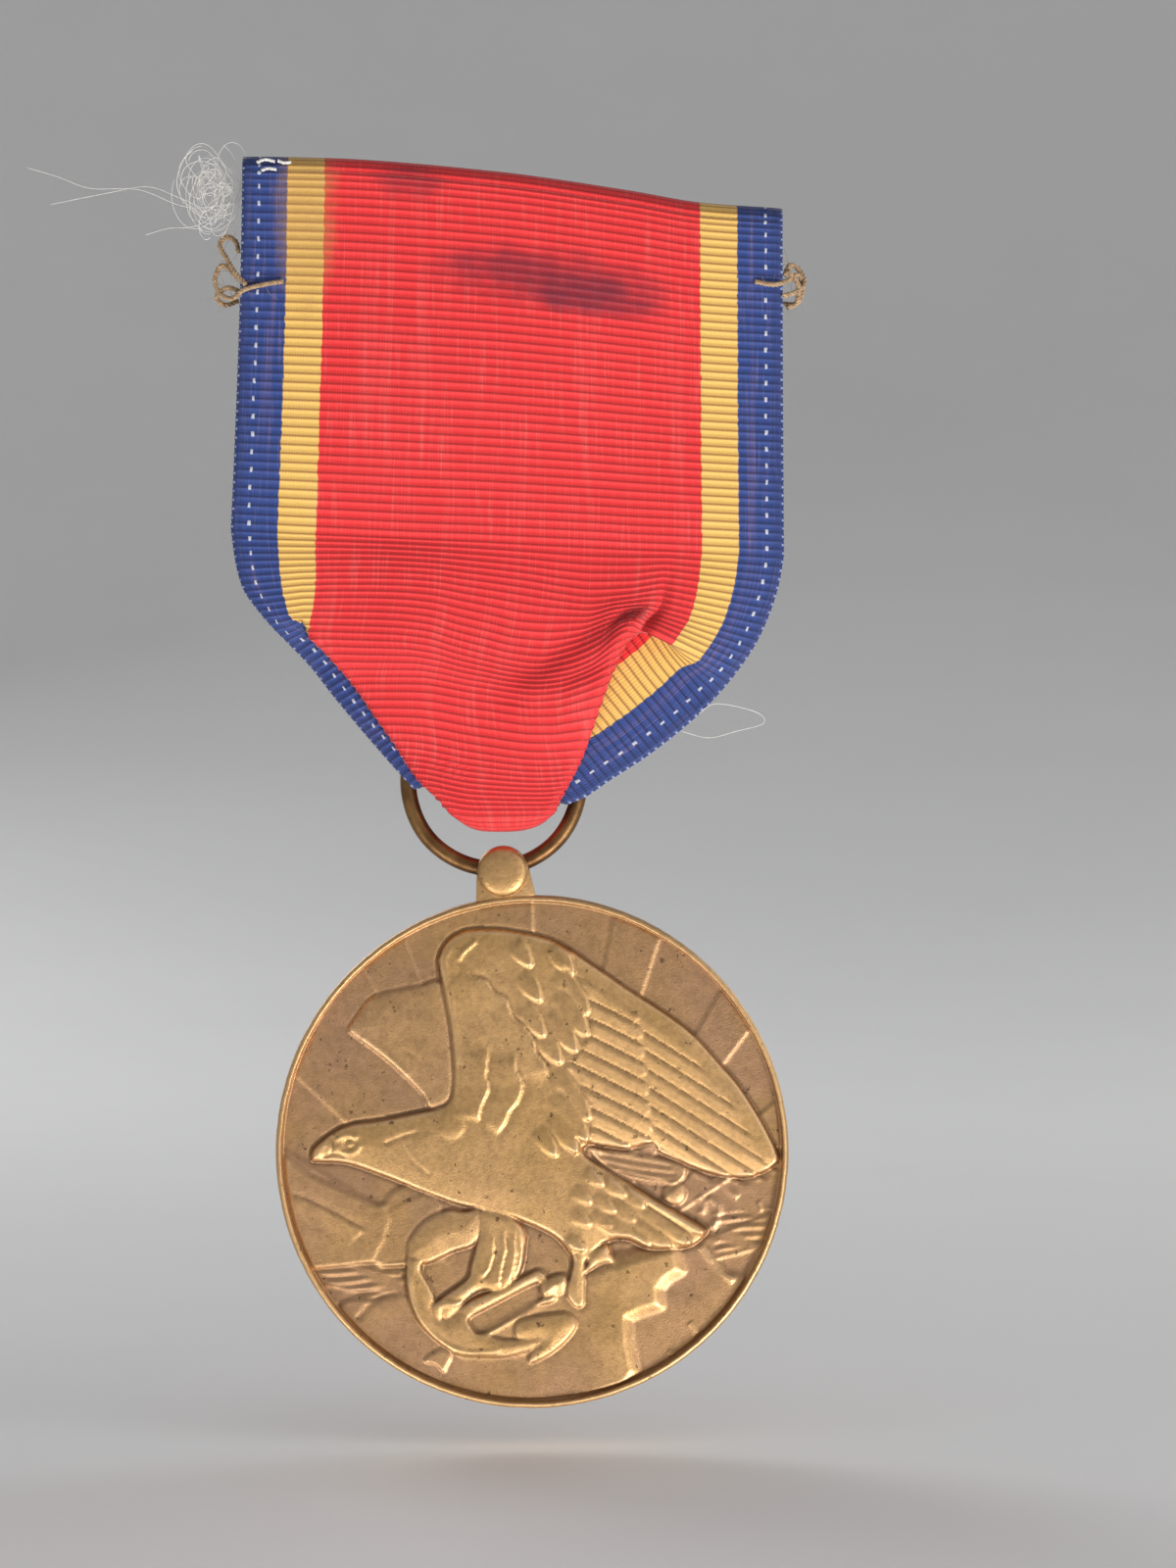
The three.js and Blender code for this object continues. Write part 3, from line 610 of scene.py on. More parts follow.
def disc_grid(cells):
    """A square grid squeezed evenly into the unit disc."""
    line = np.linspace(-1, 1, cells + 1)
    u, v = np.meshgrid(line, line, indexing="ij")
    return np.stack([(u * np.sqrt(1 - v * v / 2)).ravel(), (v * np.sqrt(1 - u * u / 2)).ravel()], axis=1)


def disc_border(cells):
    """The grid's outer points, in order round the disc."""
    n = cells + 1
    bottom = [i * n for i in range(cells)]
    right = [cells * n + j for j in range(cells)]
    top = [i * n + cells for i in range(cells, 0, -1)]
    left = [j for j in range(cells, 0, -1)]
    return np.array(bottom + right + top + left)


def cavity_of(height, cells):
    """How far each point stands over its surroundings."""
    grid = height.reshape(cells + 1, cells + 1)
    soft = grid
    for _ in range(10):
        padded = np.pad(soft, 1, mode="edge")
        soft = (padded[:-2, 1:-1] + padded[2:, 1:-1] + padded[1:-1, :-2] + padded[1:-1, 2:] + 2 * soft) / 6
    return (grid - soft).ravel()


def rim_profile():
    """Radius and depth from the front field over the rim and round to the back field."""
    r, t = DISC_RADIUS, DISC_HALF_DEPTH
    front = [(-0.40, -t + 0.52), (-0.37, -t + 0.22), (-0.33, -t + 0.04), (-0.27, -t), (-0.19, -t + 0.01),
             (-0.10, -t + 0.06), (-0.03, -t + 0.16), (0, -t + 0.32)]
    back = [(0, t - 0.32), (-0.03, t - 0.16), (-0.10, t - 0.06), (-0.19, t - 0.01), (-0.27, t),
            (-0.36, t - 0.05)]
    return [(r + inward, depth) for inward, depth in front + back]


def medal_point(x, y, z):
    """Places given along the medal's own right, depth and up, from the disc's centre."""
    return DISC_CENTRE + np.outer(x, MEDAL_RIGHT) + np.outer(y, [0, 1, 0]) + np.outer(z, MEDAL_UP)


def rim_wear(direction):
    """Depth of the small dents and flats that years of handling leave along the rim."""
    angle = np.arctan2(direction[:, 1], direction[:, 0])
    dents = np.sin(angle * 9 + 1) * np.sin(angle * 23) + 0.6 * np.sin(angle * 61 + 2) * np.sin(angle * 5)
    return np.abs(RIM_DENT * dents)


def field_faces(cells, start, order):
    """Quads over a field's grid of points. The order of the corners sets which way they face."""
    row = cells + 1
    corner = (np.arange(cells)[:, None] * row + np.arange(cells)).ravel() + start
    corners = np.stack([corner, corner + row, corner + row + 1, corner + 1], axis=1)
    return corners[:, order].tolist()


def disc_faces(front_count, around, rim_rows):
    """The front field, the rim's bands, a seam to the back's coarser border, and the back field."""
    faces = field_faces(FRONT_CELLS, 0, (0, 1, 2, 3))
    rows = [disc_border(FRONT_CELLS)]
    rows += [front_count + k * around + np.arange(around) for k in range(rim_rows)]
    for inner, outer in zip(rows[:-1], rows[1:]):
        faces += np.stack([inner, outer, np.roll(outer, -1), np.roll(inner, -1)], axis=1).tolist()
    back_start = front_count + rim_rows * around
    near = disc_border(BACK_CELLS) + back_start
    far = np.roll(near, -1)
    # Each border point of the back meets two of the rim.
    a, b, c = rows[-1][0::2], rows[-1][1::2], np.roll(rows[-1][0::2], -1)
    seam = np.array([[a, near, b], [near, far, b], [b, far, c]])
    faces += seam.transpose(2, 0, 1).reshape(-1, 3).tolist()
    return faces + field_faces(BACK_CELLS, back_start, (0, 3, 2, 1))


def make_disc():
    """The struck planchet: the front's relief, the rim and the reverse in one closed mesh."""
    front = disc_grid(FRONT_CELLS) * FIELD_RADIUS
    back = disc_grid(BACK_CELLS) * FIELD_RADIUS
    front_height = front_heights(front)
    back_height = back_heights(back)
    direction = front[disc_border(FRONT_CELLS)] / FIELD_RADIUS
    around = len(direction)
    profile = rim_profile()
    wear = rim_wear(direction)
    points = [medal_point(front[:, 0], -DISC_HALF_DEPTH + FRONT_RECESS - front_height, front[:, 1])]
    for radius, depth in profile:
        ring = direction * (radius - wear[:, None])
        points.append(medal_point(ring[:, 0], np.full(around, depth), ring[:, 1]))
    points.append(medal_point(back[:, 0], DISC_HALF_DEPTH - BACK_RECESS + back_height, back[:, 1]))
    rim_count = around * len(profile)
    front_cavity = cavity_of(front_height, FRONT_CELLS)
    back_cavity = cavity_of(back_height, BACK_CELLS)
    values = {
        "height": np.concatenate([front_height, np.full(rim_count, RIM_HEIGHT), back_height]),
        "cavity": np.concatenate([front_cavity, np.full(rim_count, RIM_CAVITY), back_cavity]),
    }
    faces = disc_faces(len(front), around, len(profile))
    disc = mesh_piece("struck_disc", np.vstack(points), faces, "medal", values)
    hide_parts("medal_disc")


# ---- Knob and ring ----


def circle(radius, depth, turn):
    """Points at the angles turn on a circle that faces along y, at a depth."""
    return np.stack([radius * np.cos(turn), np.full(len(turn), depth), radius * np.sin(turn)], axis=1)


def lathe(profile, sides):
    """Points and faces of a profile of (radius, depth) turned about the depth axis, closed at both ends."""
    turn = np.arange(sides) / sides * 2 * math.pi
    points = []
    for radius, depth in profile:
        points.append(circle(radius, depth, turn))
    faces = grid_faces(len(profile), sides, closed=True)
    faces.append(list(range(sides)))
    faces.append([(len(profile) - 1) * sides + i for i in reversed(range(sides))])
    return np.vstack(points), faces


def helper_solid(points, faces):
    """A solid that is only joined to another or cut from it."""
    return placed("helper", mesh_from("helper", points, faces))


def boxed(half_x, half_y, low, high, flare):
    """A block between two heights, wider at its foot by flare."""
    corners = []
    for z, grow in ((low, flare), (high, 0)):
        x, y = half_x + grow, half_y + grow * 0.3
        corners += [(-x, -y, z), (x, -y, z), (x, y, z), (-x, y, z)]
    faces = [[3, 2, 1, 0], [4, 5, 6, 7], [0, 1, 5, 4], [1, 2, 6, 5], [2, 3, 7, 6], [3, 0, 4, 7]]
    return np.array(corners, float), faces


def make_knob():
    """A round button with a softly domed face on a flared neck, drilled across for the ring."""
    low, high = node_box("suspension_knob")
    half_depth = (high[1] - low[1]) / 2
    radius, hole_radius = 1.6, 0.68
    neck_half_width, neck_half_depth, flare, sunk = 1.62, 1.0, 0.22, 0.12
    hole_height = float((joint_place("medal_swing") - DISC_CENTRE) @ MEDAL_UP)
    centre_height = hole_height - 0.36
    side = [(0.15, 0.03), (0.8, 0.01), (1.15, -0.03), (1.36, -0.11), (1.51, -0.26), (1.58, -0.44)]
    profile = [(r, -half_depth - inset) for r, inset in side] + [(radius, -0.7), (radius, 0.7)]
    profile += [(r, half_depth + inset) for r, inset in reversed(side)]
    boss_points, boss_faces = lathe(profile, 72)
    boss = helper_solid(boss_points + [0, 0, centre_height], boss_faces)
    neck = helper_solid(*boxed(neck_half_width, neck_half_depth, DISC_RADIUS - sunk, centre_height, flare))
    drill_points, drill_faces = lathe([(hole_radius, -4), (hole_radius, 4)], 40)
    drill_points = drill_points[:, [1, 0, 2]] + [0, 0, hole_height]
    drill = helper_solid(drill_points, [face[::-1] for face in drill_faces])
    for other, operation in ((neck, "UNION"), (drill, "DIFFERENCE")):
        boolean = boss.modifiers.new("cut", "BOOLEAN")
        boolean.object = other
        boolean.operation = operation
        boolean.solver = "EXACT"
    bevel = boss.modifiers.new("worn_edges", "BEVEL")
    bevel.width = 0.1 * MM
    bevel.segments = 3
    bevel.angle_limit = math.radians(38)
    bpy.context.view_layer.update()
    made = bpy.data.meshes.new_from_object(boss.evaluated_get(bpy.context.evaluated_depsgraph_get()))
    made.name = "knob"
    for helper in (boss, neck, drill):
        bpy.data.objects.remove(helper)
    basis = Matrix(np.stack([MEDAL_RIGHT, [0, 1, 0], MEDAL_UP], axis=1)).to_4x4()
    made.transform(Matrix.Translation(Vector(DISC_CENTRE * MM)) @ basis)
    made.shade_smooth()
    knob = placed("knob", made)
    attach(knob, "medal")
    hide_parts("suspension_knob")


def make_ring():
    """Drawn wire bent round, a little uneven, with its two ends butted at the top."""
    low, high = node_box("suspension_ring")
    wire_radius = (high[1] - low[1]) / 2
    radius = (high[0] - low[0]) / 2 - wire_radius
    steps, sides = 180, 24
    gap = math.radians(1.5)
    angle = math.pi / 2 + gap / 2 + np.linspace(0, 2 * math.pi - gap, steps)
    uneven = 0.018 * np.sin(3 * angle + 0.7) + 0.012 * np.sin(7 * angle)
    path = circle(radius + uneven, 0.0, angle)
    ring = tubes_piece("wire_ring", [path + RING_CENTRE], "ring", wire_radius * 0.99, sides)
    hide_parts("suspension_ring")


# ---- Ribbon ----
# u runs across the strip from its left selvage. t runs down the pleated part, from 0 where the pleats
# begin to 1 where the cloth turns under the fold. Places are (x, z) from the ring's centre, and depth is
# y from its plane.

RIB_PITCH = 0.53
RIB_HEIGHT = 0.09
ROWS_PER_RIB = 5
COLUMNS = 104
FLAT_RIBS = 42
PLEATED_RIBS = 40
FLAT_DEPTH = -0.95
CLOTH_THICKNESS = 0.26


def monotone(knots, values, at):
    """Cubic interpolation that never overshoots its knots."""
    knots, values = np.asarray(knots, float), np.asarray(values, float)
    step = np.diff(knots)
    slope = np.diff(values) / step
    inner = np.zeros(len(knots))
    same = slope[:-1] * slope[1:] > 0
    left, right = 2 * step[1:] + step[:-1], step[1:] + 2 * step[:-1]
    with np.errstate(divide="ignore", invalid="ignore"):
        mean = (left + right) / (left / slope[:-1] + right / slope[1:])
    inner[1:-1] = np.where(same, mean, 0)
    inner[0], inner[-1] = slope[0], slope[-1]
    at = np.clip(at, knots[0], knots[-1])
    i = np.clip(np.searchsorted(knots, at, side="right") - 1, 0, len(step) - 1)
    s = (at - knots[i]) / step[i]
    return (
        values[i] * (1 + 2 * s) * (1 - s) ** 2
        + inner[i] * step[i] * s * (1 - s) ** 2
        + values[i + 1] * s * s * (3 - 2 * s)
        + inner[i + 1] * step[i] * s * s * (s - 1)
    )


TOP_EDGE = [(-15.5, 38.7), (-10.5, 38.6), (-0.2, 37.8), (8.3, 36.6), (13.1, 35.8), (17.86, 35.48)]

# Heights and forward bulges of the front panel, by column (x) and row (t).
PANEL_X = [-16.2, -9, -5, -1, 3, 6, 8.6, 11, 14.4, 18]
PANEL_Z = {
    0: [15.66, 15.3, 15.1, 14.95, 14.75, 14.6, 14.45, 14.35, 14.2, 14.0],
    0.17: [12.6, 12.8, 12.7, 12.2, 11.6, 11.2, 11.45, 11.75, 11.3, 10.3],
    0.39: [9.3, 9.1, 8.9, 7.9, 7.2, 8.0, 9.55, 8.5, 6.4, 5.0],
    0.55: [6.4, 6.2, 6.2, 5.6, 5.1, 5.75, 6.9, 6.6, 4.6, 3.0],
    0.75: [2.6, 2.4, 2.2, 1.5, 1.1, 1.3, 1.6, 1.6, 1.6, 1.6],
    1: [-1.2, -1.2, -1.35, -2.0, -1.95, -1.3, -1.1, -1.1, -1.1, -1.1],
}
PANEL_BULGE = {
    0: [0, 0, 0, 0, 0, 0, 0, 0, 0, 0],
    0.17: [0, 0.3, 0.5, 0.4, 0.35, 0.45, 0.6, 0.4, 0.1, 0],
    0.39: [0.1, 0.4, 0.8, 0.65, 0.7, 0.9, 1.15, 0.75, 0.3, 0],
    0.47: [0.1, 0.3, 0.7, 0.65, 0.9, 1.1, 1.2, 0.85, 0.4, 0],
    0.55: [0.2, 0.1, 0.5, 0.6, 1.1, 1.4, 1.2, 1.0, 0.5, 0.2],
    0.75: [0.4, 0.3, 0.4, 0.7, 0.9, 0.9, 0.8, 0.8, 0.6, 0.5],
    1: [0.95] * 10,
}

LEFT_SELVAGE = [
    (0, -16.2, 15.66), (0.10, -15.95, 13.8), (0.19, -15.5, 12.1), (0.29, -14.4, 10.47), (0.41, -12.8, 8.73),
    (0.52, -11.3, 7.13), (0.63, -9.95, 5.4), (0.77, -8.2, 3.3), (0.91, -6.36, 1.19), (1, -4.9, -0.4),
]
LEFT_CREASE_X = [
    (0, -12), (0.2, -11.8), (0.39, -11.4), (0.45, -10.4), (0.54, -8.9), (0.64, -7.5), (0.74, -6.1),
    (0.82, -5.3), (0.9, -4.4), (0.96, -3.3), (1, -2.75),
]
LEFT_CREASE_U = [(0, 4.2), (0.2, 4.4), (0.39, 5.2), (0.55, 8.25), (0.75, 10.9), (1, 13.5)]
RIGHT_SELVAGE = [
    (0, 17.95, 14), (0.075, 17.67, 12.39), (0.235, 16.52, 9.18), (0.40, 14.58, 6.27), (0.516, 12.95, 4.45),
    (0.723, 9.55, 1.66), (0.859, 7.13, 0.08), (0.953, 5.49, -1), (1, 4.6, -1.35),
]
RIGHT_CREASE_X = [(0, 10.9), (0.17, 10.3), (0.39, 8.4), (0.55, 7), (0.65, 6.1), (0.75, 5.3), (1, 3.7)]
RIGHT_CREASE_U = [(0, 27), (0.17, 26.6), (0.39, 25.5), (0.55, 24.2), (0.75, 22), (1, 19.85)]
BAND_INWARD = np.array([-0.634, 0.773])
BAND_WIDTH = 7.0
FOLD_MIDDLE, FOLD_HALF_WIDTH = 0.5, 3.25
# Which way the cloth hidden by the left pleat runs, and the least of it that a pleat hides.
HIDDEN_LEFT = np.array([0.45, 0.89])
LEAST_HIDDEN = 0.3


def at_row(table, t):
    """A table's columns at t, which its first column gives."""
    columns = list(zip(*table))
    return [float(monotone(columns[0], values, t)) for values in columns[1:]]


def panel(x, t):
    """Height and forward bulge of the front panel at x."""
    out = []
    for table in (PANEL_Z, PANEL_BULGE):
        rows = sorted(table)
        by_column = [float(monotone(rows, [table[row][i] for row in rows], t)) for i in range(len(PANEL_X))]
        out.append(monotone(PANEL_X, by_column, x))
    # The pleat's crest runs down to the left from its peak, with a hollow above it.
    peak, foot = np.array([8.6, 9.5]), np.array([2.6, 5.7])
    place = np.stack([x, out[0]], axis=1)
    distance, side, along = to_line(place, np.array([peak, foot]))
    strength = smoothstep((t - 0.2) / 0.15) * smoothstep((0.8 - t) / 0.2)
    crest = 0.26 * np.exp(-((distance / 0.75) ** 2)) * (1 - 0.55 * along)
    hollow = 0.10 * np.exp(-(((distance - 1.7) / 1.0) ** 2)) * (side < 0) * (1 - 0.4 * along)
    out[1] = out[1] + strength * (crest - hollow)
    return out


def left_knots(t, left_u, crease, crease_y):
    """u, x, z and depth of the cloth folded behind the left crease, from the selvage to the crease."""
    selvage = np.array(at_row(LEFT_SELVAGE, t))
    fold = smoothstep((t - 0.30) / 0.16)
    overhang = np.linalg.norm(selvage - crease)
    hidden = max((left_u - overhang) / 2, LEAST_HIDDEN)
    inner_u = left_u - hidden
    flat = [crease + (selvage - crease) * (left_u - at) / left_u for at in (inner_u, inner_u / 2)]
    inner = flat[0] * (1 - fold) + (crease + HIDDEN_LEFT * hidden) * fold
    middle = flat[1] * (1 - fold) + (inner + selvage) / 2 * fold
    layer = 0.28 * fold
    return [
        (0, *selvage, crease_y + 2.4 * layer),
        (inner_u / 2, *middle, crease_y + 2.2 * layer),
        (inner_u, *inner, crease_y + 1.5 * layer),
        ((inner_u + left_u) / 2, *((inner + crease) / 2), crease_y + 1.0 * layer),
        (left_u, *crease, crease_y + 0.4 * layer),
    ]


def right_knots(t, right_u, crease, crease_y):
    """u, x, z and depth of the cloth past the right crease, which shows its edge as a slanting band."""
    selvage = np.array(at_row(RIGHT_SELVAGE, t))
    fold = smoothstep((t - 0.36) / 0.14)
    rest = STRIP_WIDTH - right_u
    hidden = np.clip(rest - BAND_WIDTH, LEAST_HIDDEN, None)
    flat = crease + (selvage - crease) * hidden / rest
    inner = flat * (1 - fold) + (selvage + BAND_INWARD * BAND_WIDTH) * fold
    layer = 0.30 * fold
    band_y = FLAT_DEPTH + 0.15 * fold
    middle_u = right_u + hidden + (rest - hidden) / 2
    middle_y = (crease_y + FLAT_DEPTH) / 2 * (1 - fold) + band_y * fold
    return [
        (right_u, *crease, crease_y + 0.5 * layer),
        (right_u + hidden / 2, *((crease + inner) / 2), (crease_y + band_y) / 2 + 0.9 * layer),
        (right_u + hidden, *inner, (crease_y * (1 - fold) + band_y * fold) + 1.0 * layer),
        (middle_u, *((inner + selvage) / 2), middle_y),
        (STRIP_WIDTH, *selvage, FLAT_DEPTH + 0.1 * fold),
    ]


def pleated_row(t, u):
    """x, z and depth of a row in the pleated part, in front of the ring's plane."""
    left_u, right_u = at_row(LEFT_CREASE_U, t)[0], at_row(RIGHT_CREASE_U, t)[0]
    left_x, right_x = at_row(LEFT_CREASE_X, t)[0], at_row(RIGHT_CREASE_X, t)[0]
    turn, columns = 0.3, 12
    panel_u = np.linspace(left_u + turn, right_u - turn, columns)
    panel_x = left_x + (right_x - left_x) * (panel_u - left_u) / (right_u - left_u)
    panel_z, bulge = panel(panel_x, t)
    ends_z, ends_bulge = panel(np.array([left_x, right_x]), t)
    knots = left_knots(t, left_u, np.array([left_x, ends_z[0]]), FLAT_DEPTH - ends_bulge[0])
    knots += zip(panel_u, panel_x, panel_z, FLAT_DEPTH - bulge)
    knots += right_knots(t, right_u, np.array([right_x, ends_z[1]]), FLAT_DEPTH - ends_bulge[1])
    knots = np.array(knots)
    return [monotone(knots[:, 0], knots[:, k], u) for k in (1, 2, 3)]


def flat_row(share, u):
    """A row of the flat part, from the top edge (share 0) to where the pleats begin (share 1)."""
    top = np.array(TOP_EDGE)
    top_u = (top[:, 0] - top[0, 0]) * STRIP_WIDTH / (top[-1, 0] - top[0, 0])
    x0, z0 = monotone(top_u, top[:, 0], u), monotone(top_u, top[:, 1], u)
    x1, z1, y1 = pleated_row(0, u)
    ease = share**1.6
    x = x0 * (1 - ease) + x1 * ease
    z = z0 * (1 - share) + z1 * share
    # The cloth has taken a soft set from handling.
    wave = 0.10 * np.sin(share * 5.1 + u * 0.16) * share * (1 - share) * 4
    return x, z, y1 + wave


def ribbon_rows(u):
    """Each row of the whole strip as x, z, depth and the length along it, from the flap's end behind."""
    step = RIB_PITCH / ROWS_PER_RIB
    rear_depth, flap_depth = 0.9, 1.42
    # The flap and the back reach these shares of the flat part's height, counted from the top.
    flap_share = 0.64
    rear_share = 0.12
    settling_rows = 6
    rows = []
    length = 0.0

    def add(x, z, y):
        nonlocal length
        rows.append((x, z, np.broadcast_to(y, u.shape), length))
        length += step

    flat_steps = FLAT_RIBS * ROWS_PER_RIB
    for i in range(int(flat_steps * flap_share), 0, -1):
        x, z, _ = flat_row(i / flat_steps, u)
        add(x, z, flap_depth)
    centre = (flap_depth + FLAT_DEPTH) / 2
    radius = (flap_depth - FLAT_DEPTH) / 2
    fold_height = radius * 0.7
    top_x, top_z, _ = flat_row(0, u)
    fold_steps = int(math.pi * radius / step)
    for i in range(fold_steps):
        turn = math.pi * i / fold_steps
        add(top_x, top_z - fold_height + fold_height * math.sin(turn), centre + radius * math.cos(turn))
    for i in range(flat_steps):
        x, z, y = flat_row(i / flat_steps, u)
        sink = math.exp(-i / settling_rows)
        add(x, z - fold_height * sink, y * (1 - sink) + FLAT_DEPTH * sink)
    pleated_steps = PLEATED_RIBS * ROWS_PER_RIB
    for i in range(pleated_steps):
        add(*pleated_row(i / pleated_steps, u))
    x, z, y = pleated_row(1, u)
    # The roll's drop, the depth of cloth it belongs to, and the radius that sets its number of rows.
    roll, roll_depth, roll_radius = 0.9, 1.9, 1.5
    roll_steps = int(math.pi * roll_radius / step)
    # The lowest edge is rounded: its corners stand higher than its middle.
    corner = np.clip(np.abs(x - FOLD_MIDDLE) / FOLD_HALF_WIDTH, 0, 1.3) ** 3
    for i in range(roll_steps):
        turn = math.pi * i / roll_steps
        drop = roll * (y / roll_depth) * (1 - 0.75 * corner) * math.sin(turn)
        narrowing = 1 - 0.12 * math.sin(turn)
        add(FOLD_MIDDLE + (x - FOLD_MIDDLE) * narrowing, z + drop, y * math.cos(turn))
    for i in range(pleated_steps, 0, -1):
        x, z, y = pleated_row(i / pleated_steps, u)
        add(x, z, -y)
    for i in range(flat_steps, int(flat_steps * rear_share), -1):
        x, z, _ = flat_row(i / flat_steps, u)
        blend = smoothstep(np.array((1 - i / flat_steps) * 5))
        add(x, z, -FLAT_DEPTH * (1 - blend) + rear_depth * blend)
    return rows


def surface_normals(grid):
    """Unit normals of a grid of points."""
    down, across = np.gradient(grid, axis=(0, 1))
    normal = np.cross(across, down)
    return normal / np.maximum(np.linalg.norm(normal, axis=2), 1e-9)[:, :, None]


def make_ribbon():
    """The whole strip as one ribbed sheet: flap, top fold, front, bottom fold and back."""
    u = np.linspace(0, STRIP_WIDTH, COLUMNS)
    rows = ribbon_rows(u)
    grid = np.stack([np.stack([x, y, z], axis=1) for x, z, y, _ in rows]) + RING_CENTRE
    along = np.array([length for *_, length in rows])
    normal = surface_normals(grid)
    # Round weft ribs with narrow grooves between them, and a thinner, slightly scalloped selvage.
    phase = along / RIB_PITCH
    rib = np.abs(np.sin(math.pi * phase)) ** 0.7
    edge = np.minimum(u, STRIP_WIDTH - u)
    amplitude = RIB_HEIGHT * (0.45 + 0.55 * smoothstep(edge / 0.9))
    grid += normal * (rib[:, None] - 0.6)[..., None] * amplitude[None, :, None]
    outward = np.sign(u - STRIP_WIDTH / 2) * smoothstep((0.5 - edge) / 0.5) * 0.05
    grid[:, :, 0] += outward[None, :] * rib[:, None]
    faces = grid_faces(len(rows), COLUMNS)
    values = {"across": np.tile(u, len(rows)), "along": np.repeat(along, COLUMNS)}
    ribbon = mesh_piece("ribbed_ribbon", grid.reshape(-1, 3), faces, "brooch", values)
    thickness = ribbon.modifiers.new("cloth_thickness", "SOLIDIFY")
    thickness.thickness = CLOTH_THICKNESS * MM
    thickness.offset = 0
    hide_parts("ribbon")


# ---- Threads and loose hairs ----

# Points between two knots of a thread's route, and points along each hair of the tuft.
THREAD_STEPS = 10
HAIR_STEPS = 34
TUFT_HAIRS = 56


def twisted(path, strands, offset, pitch):
    """Paths of several strands laid round one another along a path."""
    path = smooth_line(path, THREAD_STEPS)
    ahead = np.gradient(path, axis=0)
    ahead /= np.maximum(np.linalg.norm(ahead, axis=1), 1e-9)[:, None]
    across = np.cross(ahead, [0.0, 1.0, 0.25])
    across /= np.maximum(np.linalg.norm(across, axis=1), 1e-9)[:, None]
    other = np.cross(ahead, across)
    length = np.concatenate([[0], np.cumsum(np.linalg.norm(np.diff(path, axis=0), axis=1))])
    out = []
    for k in range(strands):
        turn = (2 * math.pi * (length / pitch + k / strands))[:, None]
        out.append(path + offset * (np.cos(turn) * across + np.sin(turn) * other))
    return out


def wandering_hair(rng, start, heading, length, curl, steps=26):
    """A fine hair that leaves start and wanders, turning by a slowly changing amount."""
    place = np.array(start, float)
    heading = np.array(heading, float)
    heading /= np.linalg.norm(heading)
    bend = rng.normal(0, curl, 3)
    out = [place.copy()]
    step = length / steps
    for _ in range(steps):
        bend = 0.8 * bend + rng.normal(0, curl * 0.6, 3)
        heading = heading + bend * step
        heading[1] *= 0.85
        heading /= np.linalg.norm(heading)
        place = place + heading * step
        out.append(place.copy())
    return np.array(out)


def make_tacks():
    """Coarse tan cotton: loops round the left edge and a frayed knot at the right edge."""
    rng = np.random.default_rng(SEED)
    # The depth of a thread that lies on the ribbon's front face.
    front = RING_CENTRE[1] + FLAT_DEPTH - 0.2
    left_paths = [
        [(-14.0, front, -1.7), (-15.2, front - 0.1, -1.9), (-16.4, front, -2.2), (-17.2, -3.9, -2.7),
         (-18.0, -3.4, -2.3), (-18.3, -3.2, -1.4), (-17.9, -3.3, -0.6), (-17.3, -3.5, -0.9),
         (-16.9, -3.9, -1.4)],
        [(-16.3, front, -1.9), (-17.0, -4.0, -1.1), (-17.6, -3.5, -0.1), (-18.0, -3.2, 0.7),
         (-17.6, -3.1, 1.2), (-17.0, -3.3, 0.9), (-16.8, -3.8, 0.2)],
        [(-16.6, -3.9, -2.3), (-17.5, -3.6, -2.0), (-18.2, -3.1, -2.5), (-17.7, -2.9, -3.0),
         (-16.9, -2.6, -2.7)],
    ]
    right_paths = [
        [(15.2, front, -1.7), (16.4, front - 0.1, -1.9), (17.2, -4.0, -1.6), (17.9, -3.4, -1.2),
         (18.2, -2.9, -2.0), (17.9, -2.4, -2.8), (17.2, -1.7, -2.8), (16.4, -1.3, -2.6)],
        [(16.9, front, -2.6), (17.7, -3.8, -2.3), (18.3, -3.3, -1.7), (18.0, -3.0, -0.9),
         (17.4, -3.5, -0.6), (17.0, -4.0, -1.3)],
        [(17.2, -4.1, -1.0), (17.9, -3.7, -1.9), (17.8, -3.3, -2.9), (17.2, -3.4, -3.2)],
    ]
    for name, node, routes in (
        ("left_tack", "left_tack_thread", left_paths),
        ("right_tack", "right_tack_thread", right_paths),
    ):
        strands = [strand for route in routes for strand in twisted(route, 3, 0.085, 0.75)]
        tack = tubes_piece(name, strands, "brooch", 0.085)
        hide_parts(node)
        hairs = []
        for _ in range(34):
            route = smooth_line(routes[int(rng.integers(len(routes)))], THREAD_STEPS)
            start = route[int(rng.integers(len(route)))]
            hairs.append(wandering_hair(rng, start, rng.normal(0, 1, 3), rng.uniform(0.5, 1.5), 1.3, 10))
        tubes_piece(name + "_fuzz", hairs, "brooch", 0.016, 4, 0.4)


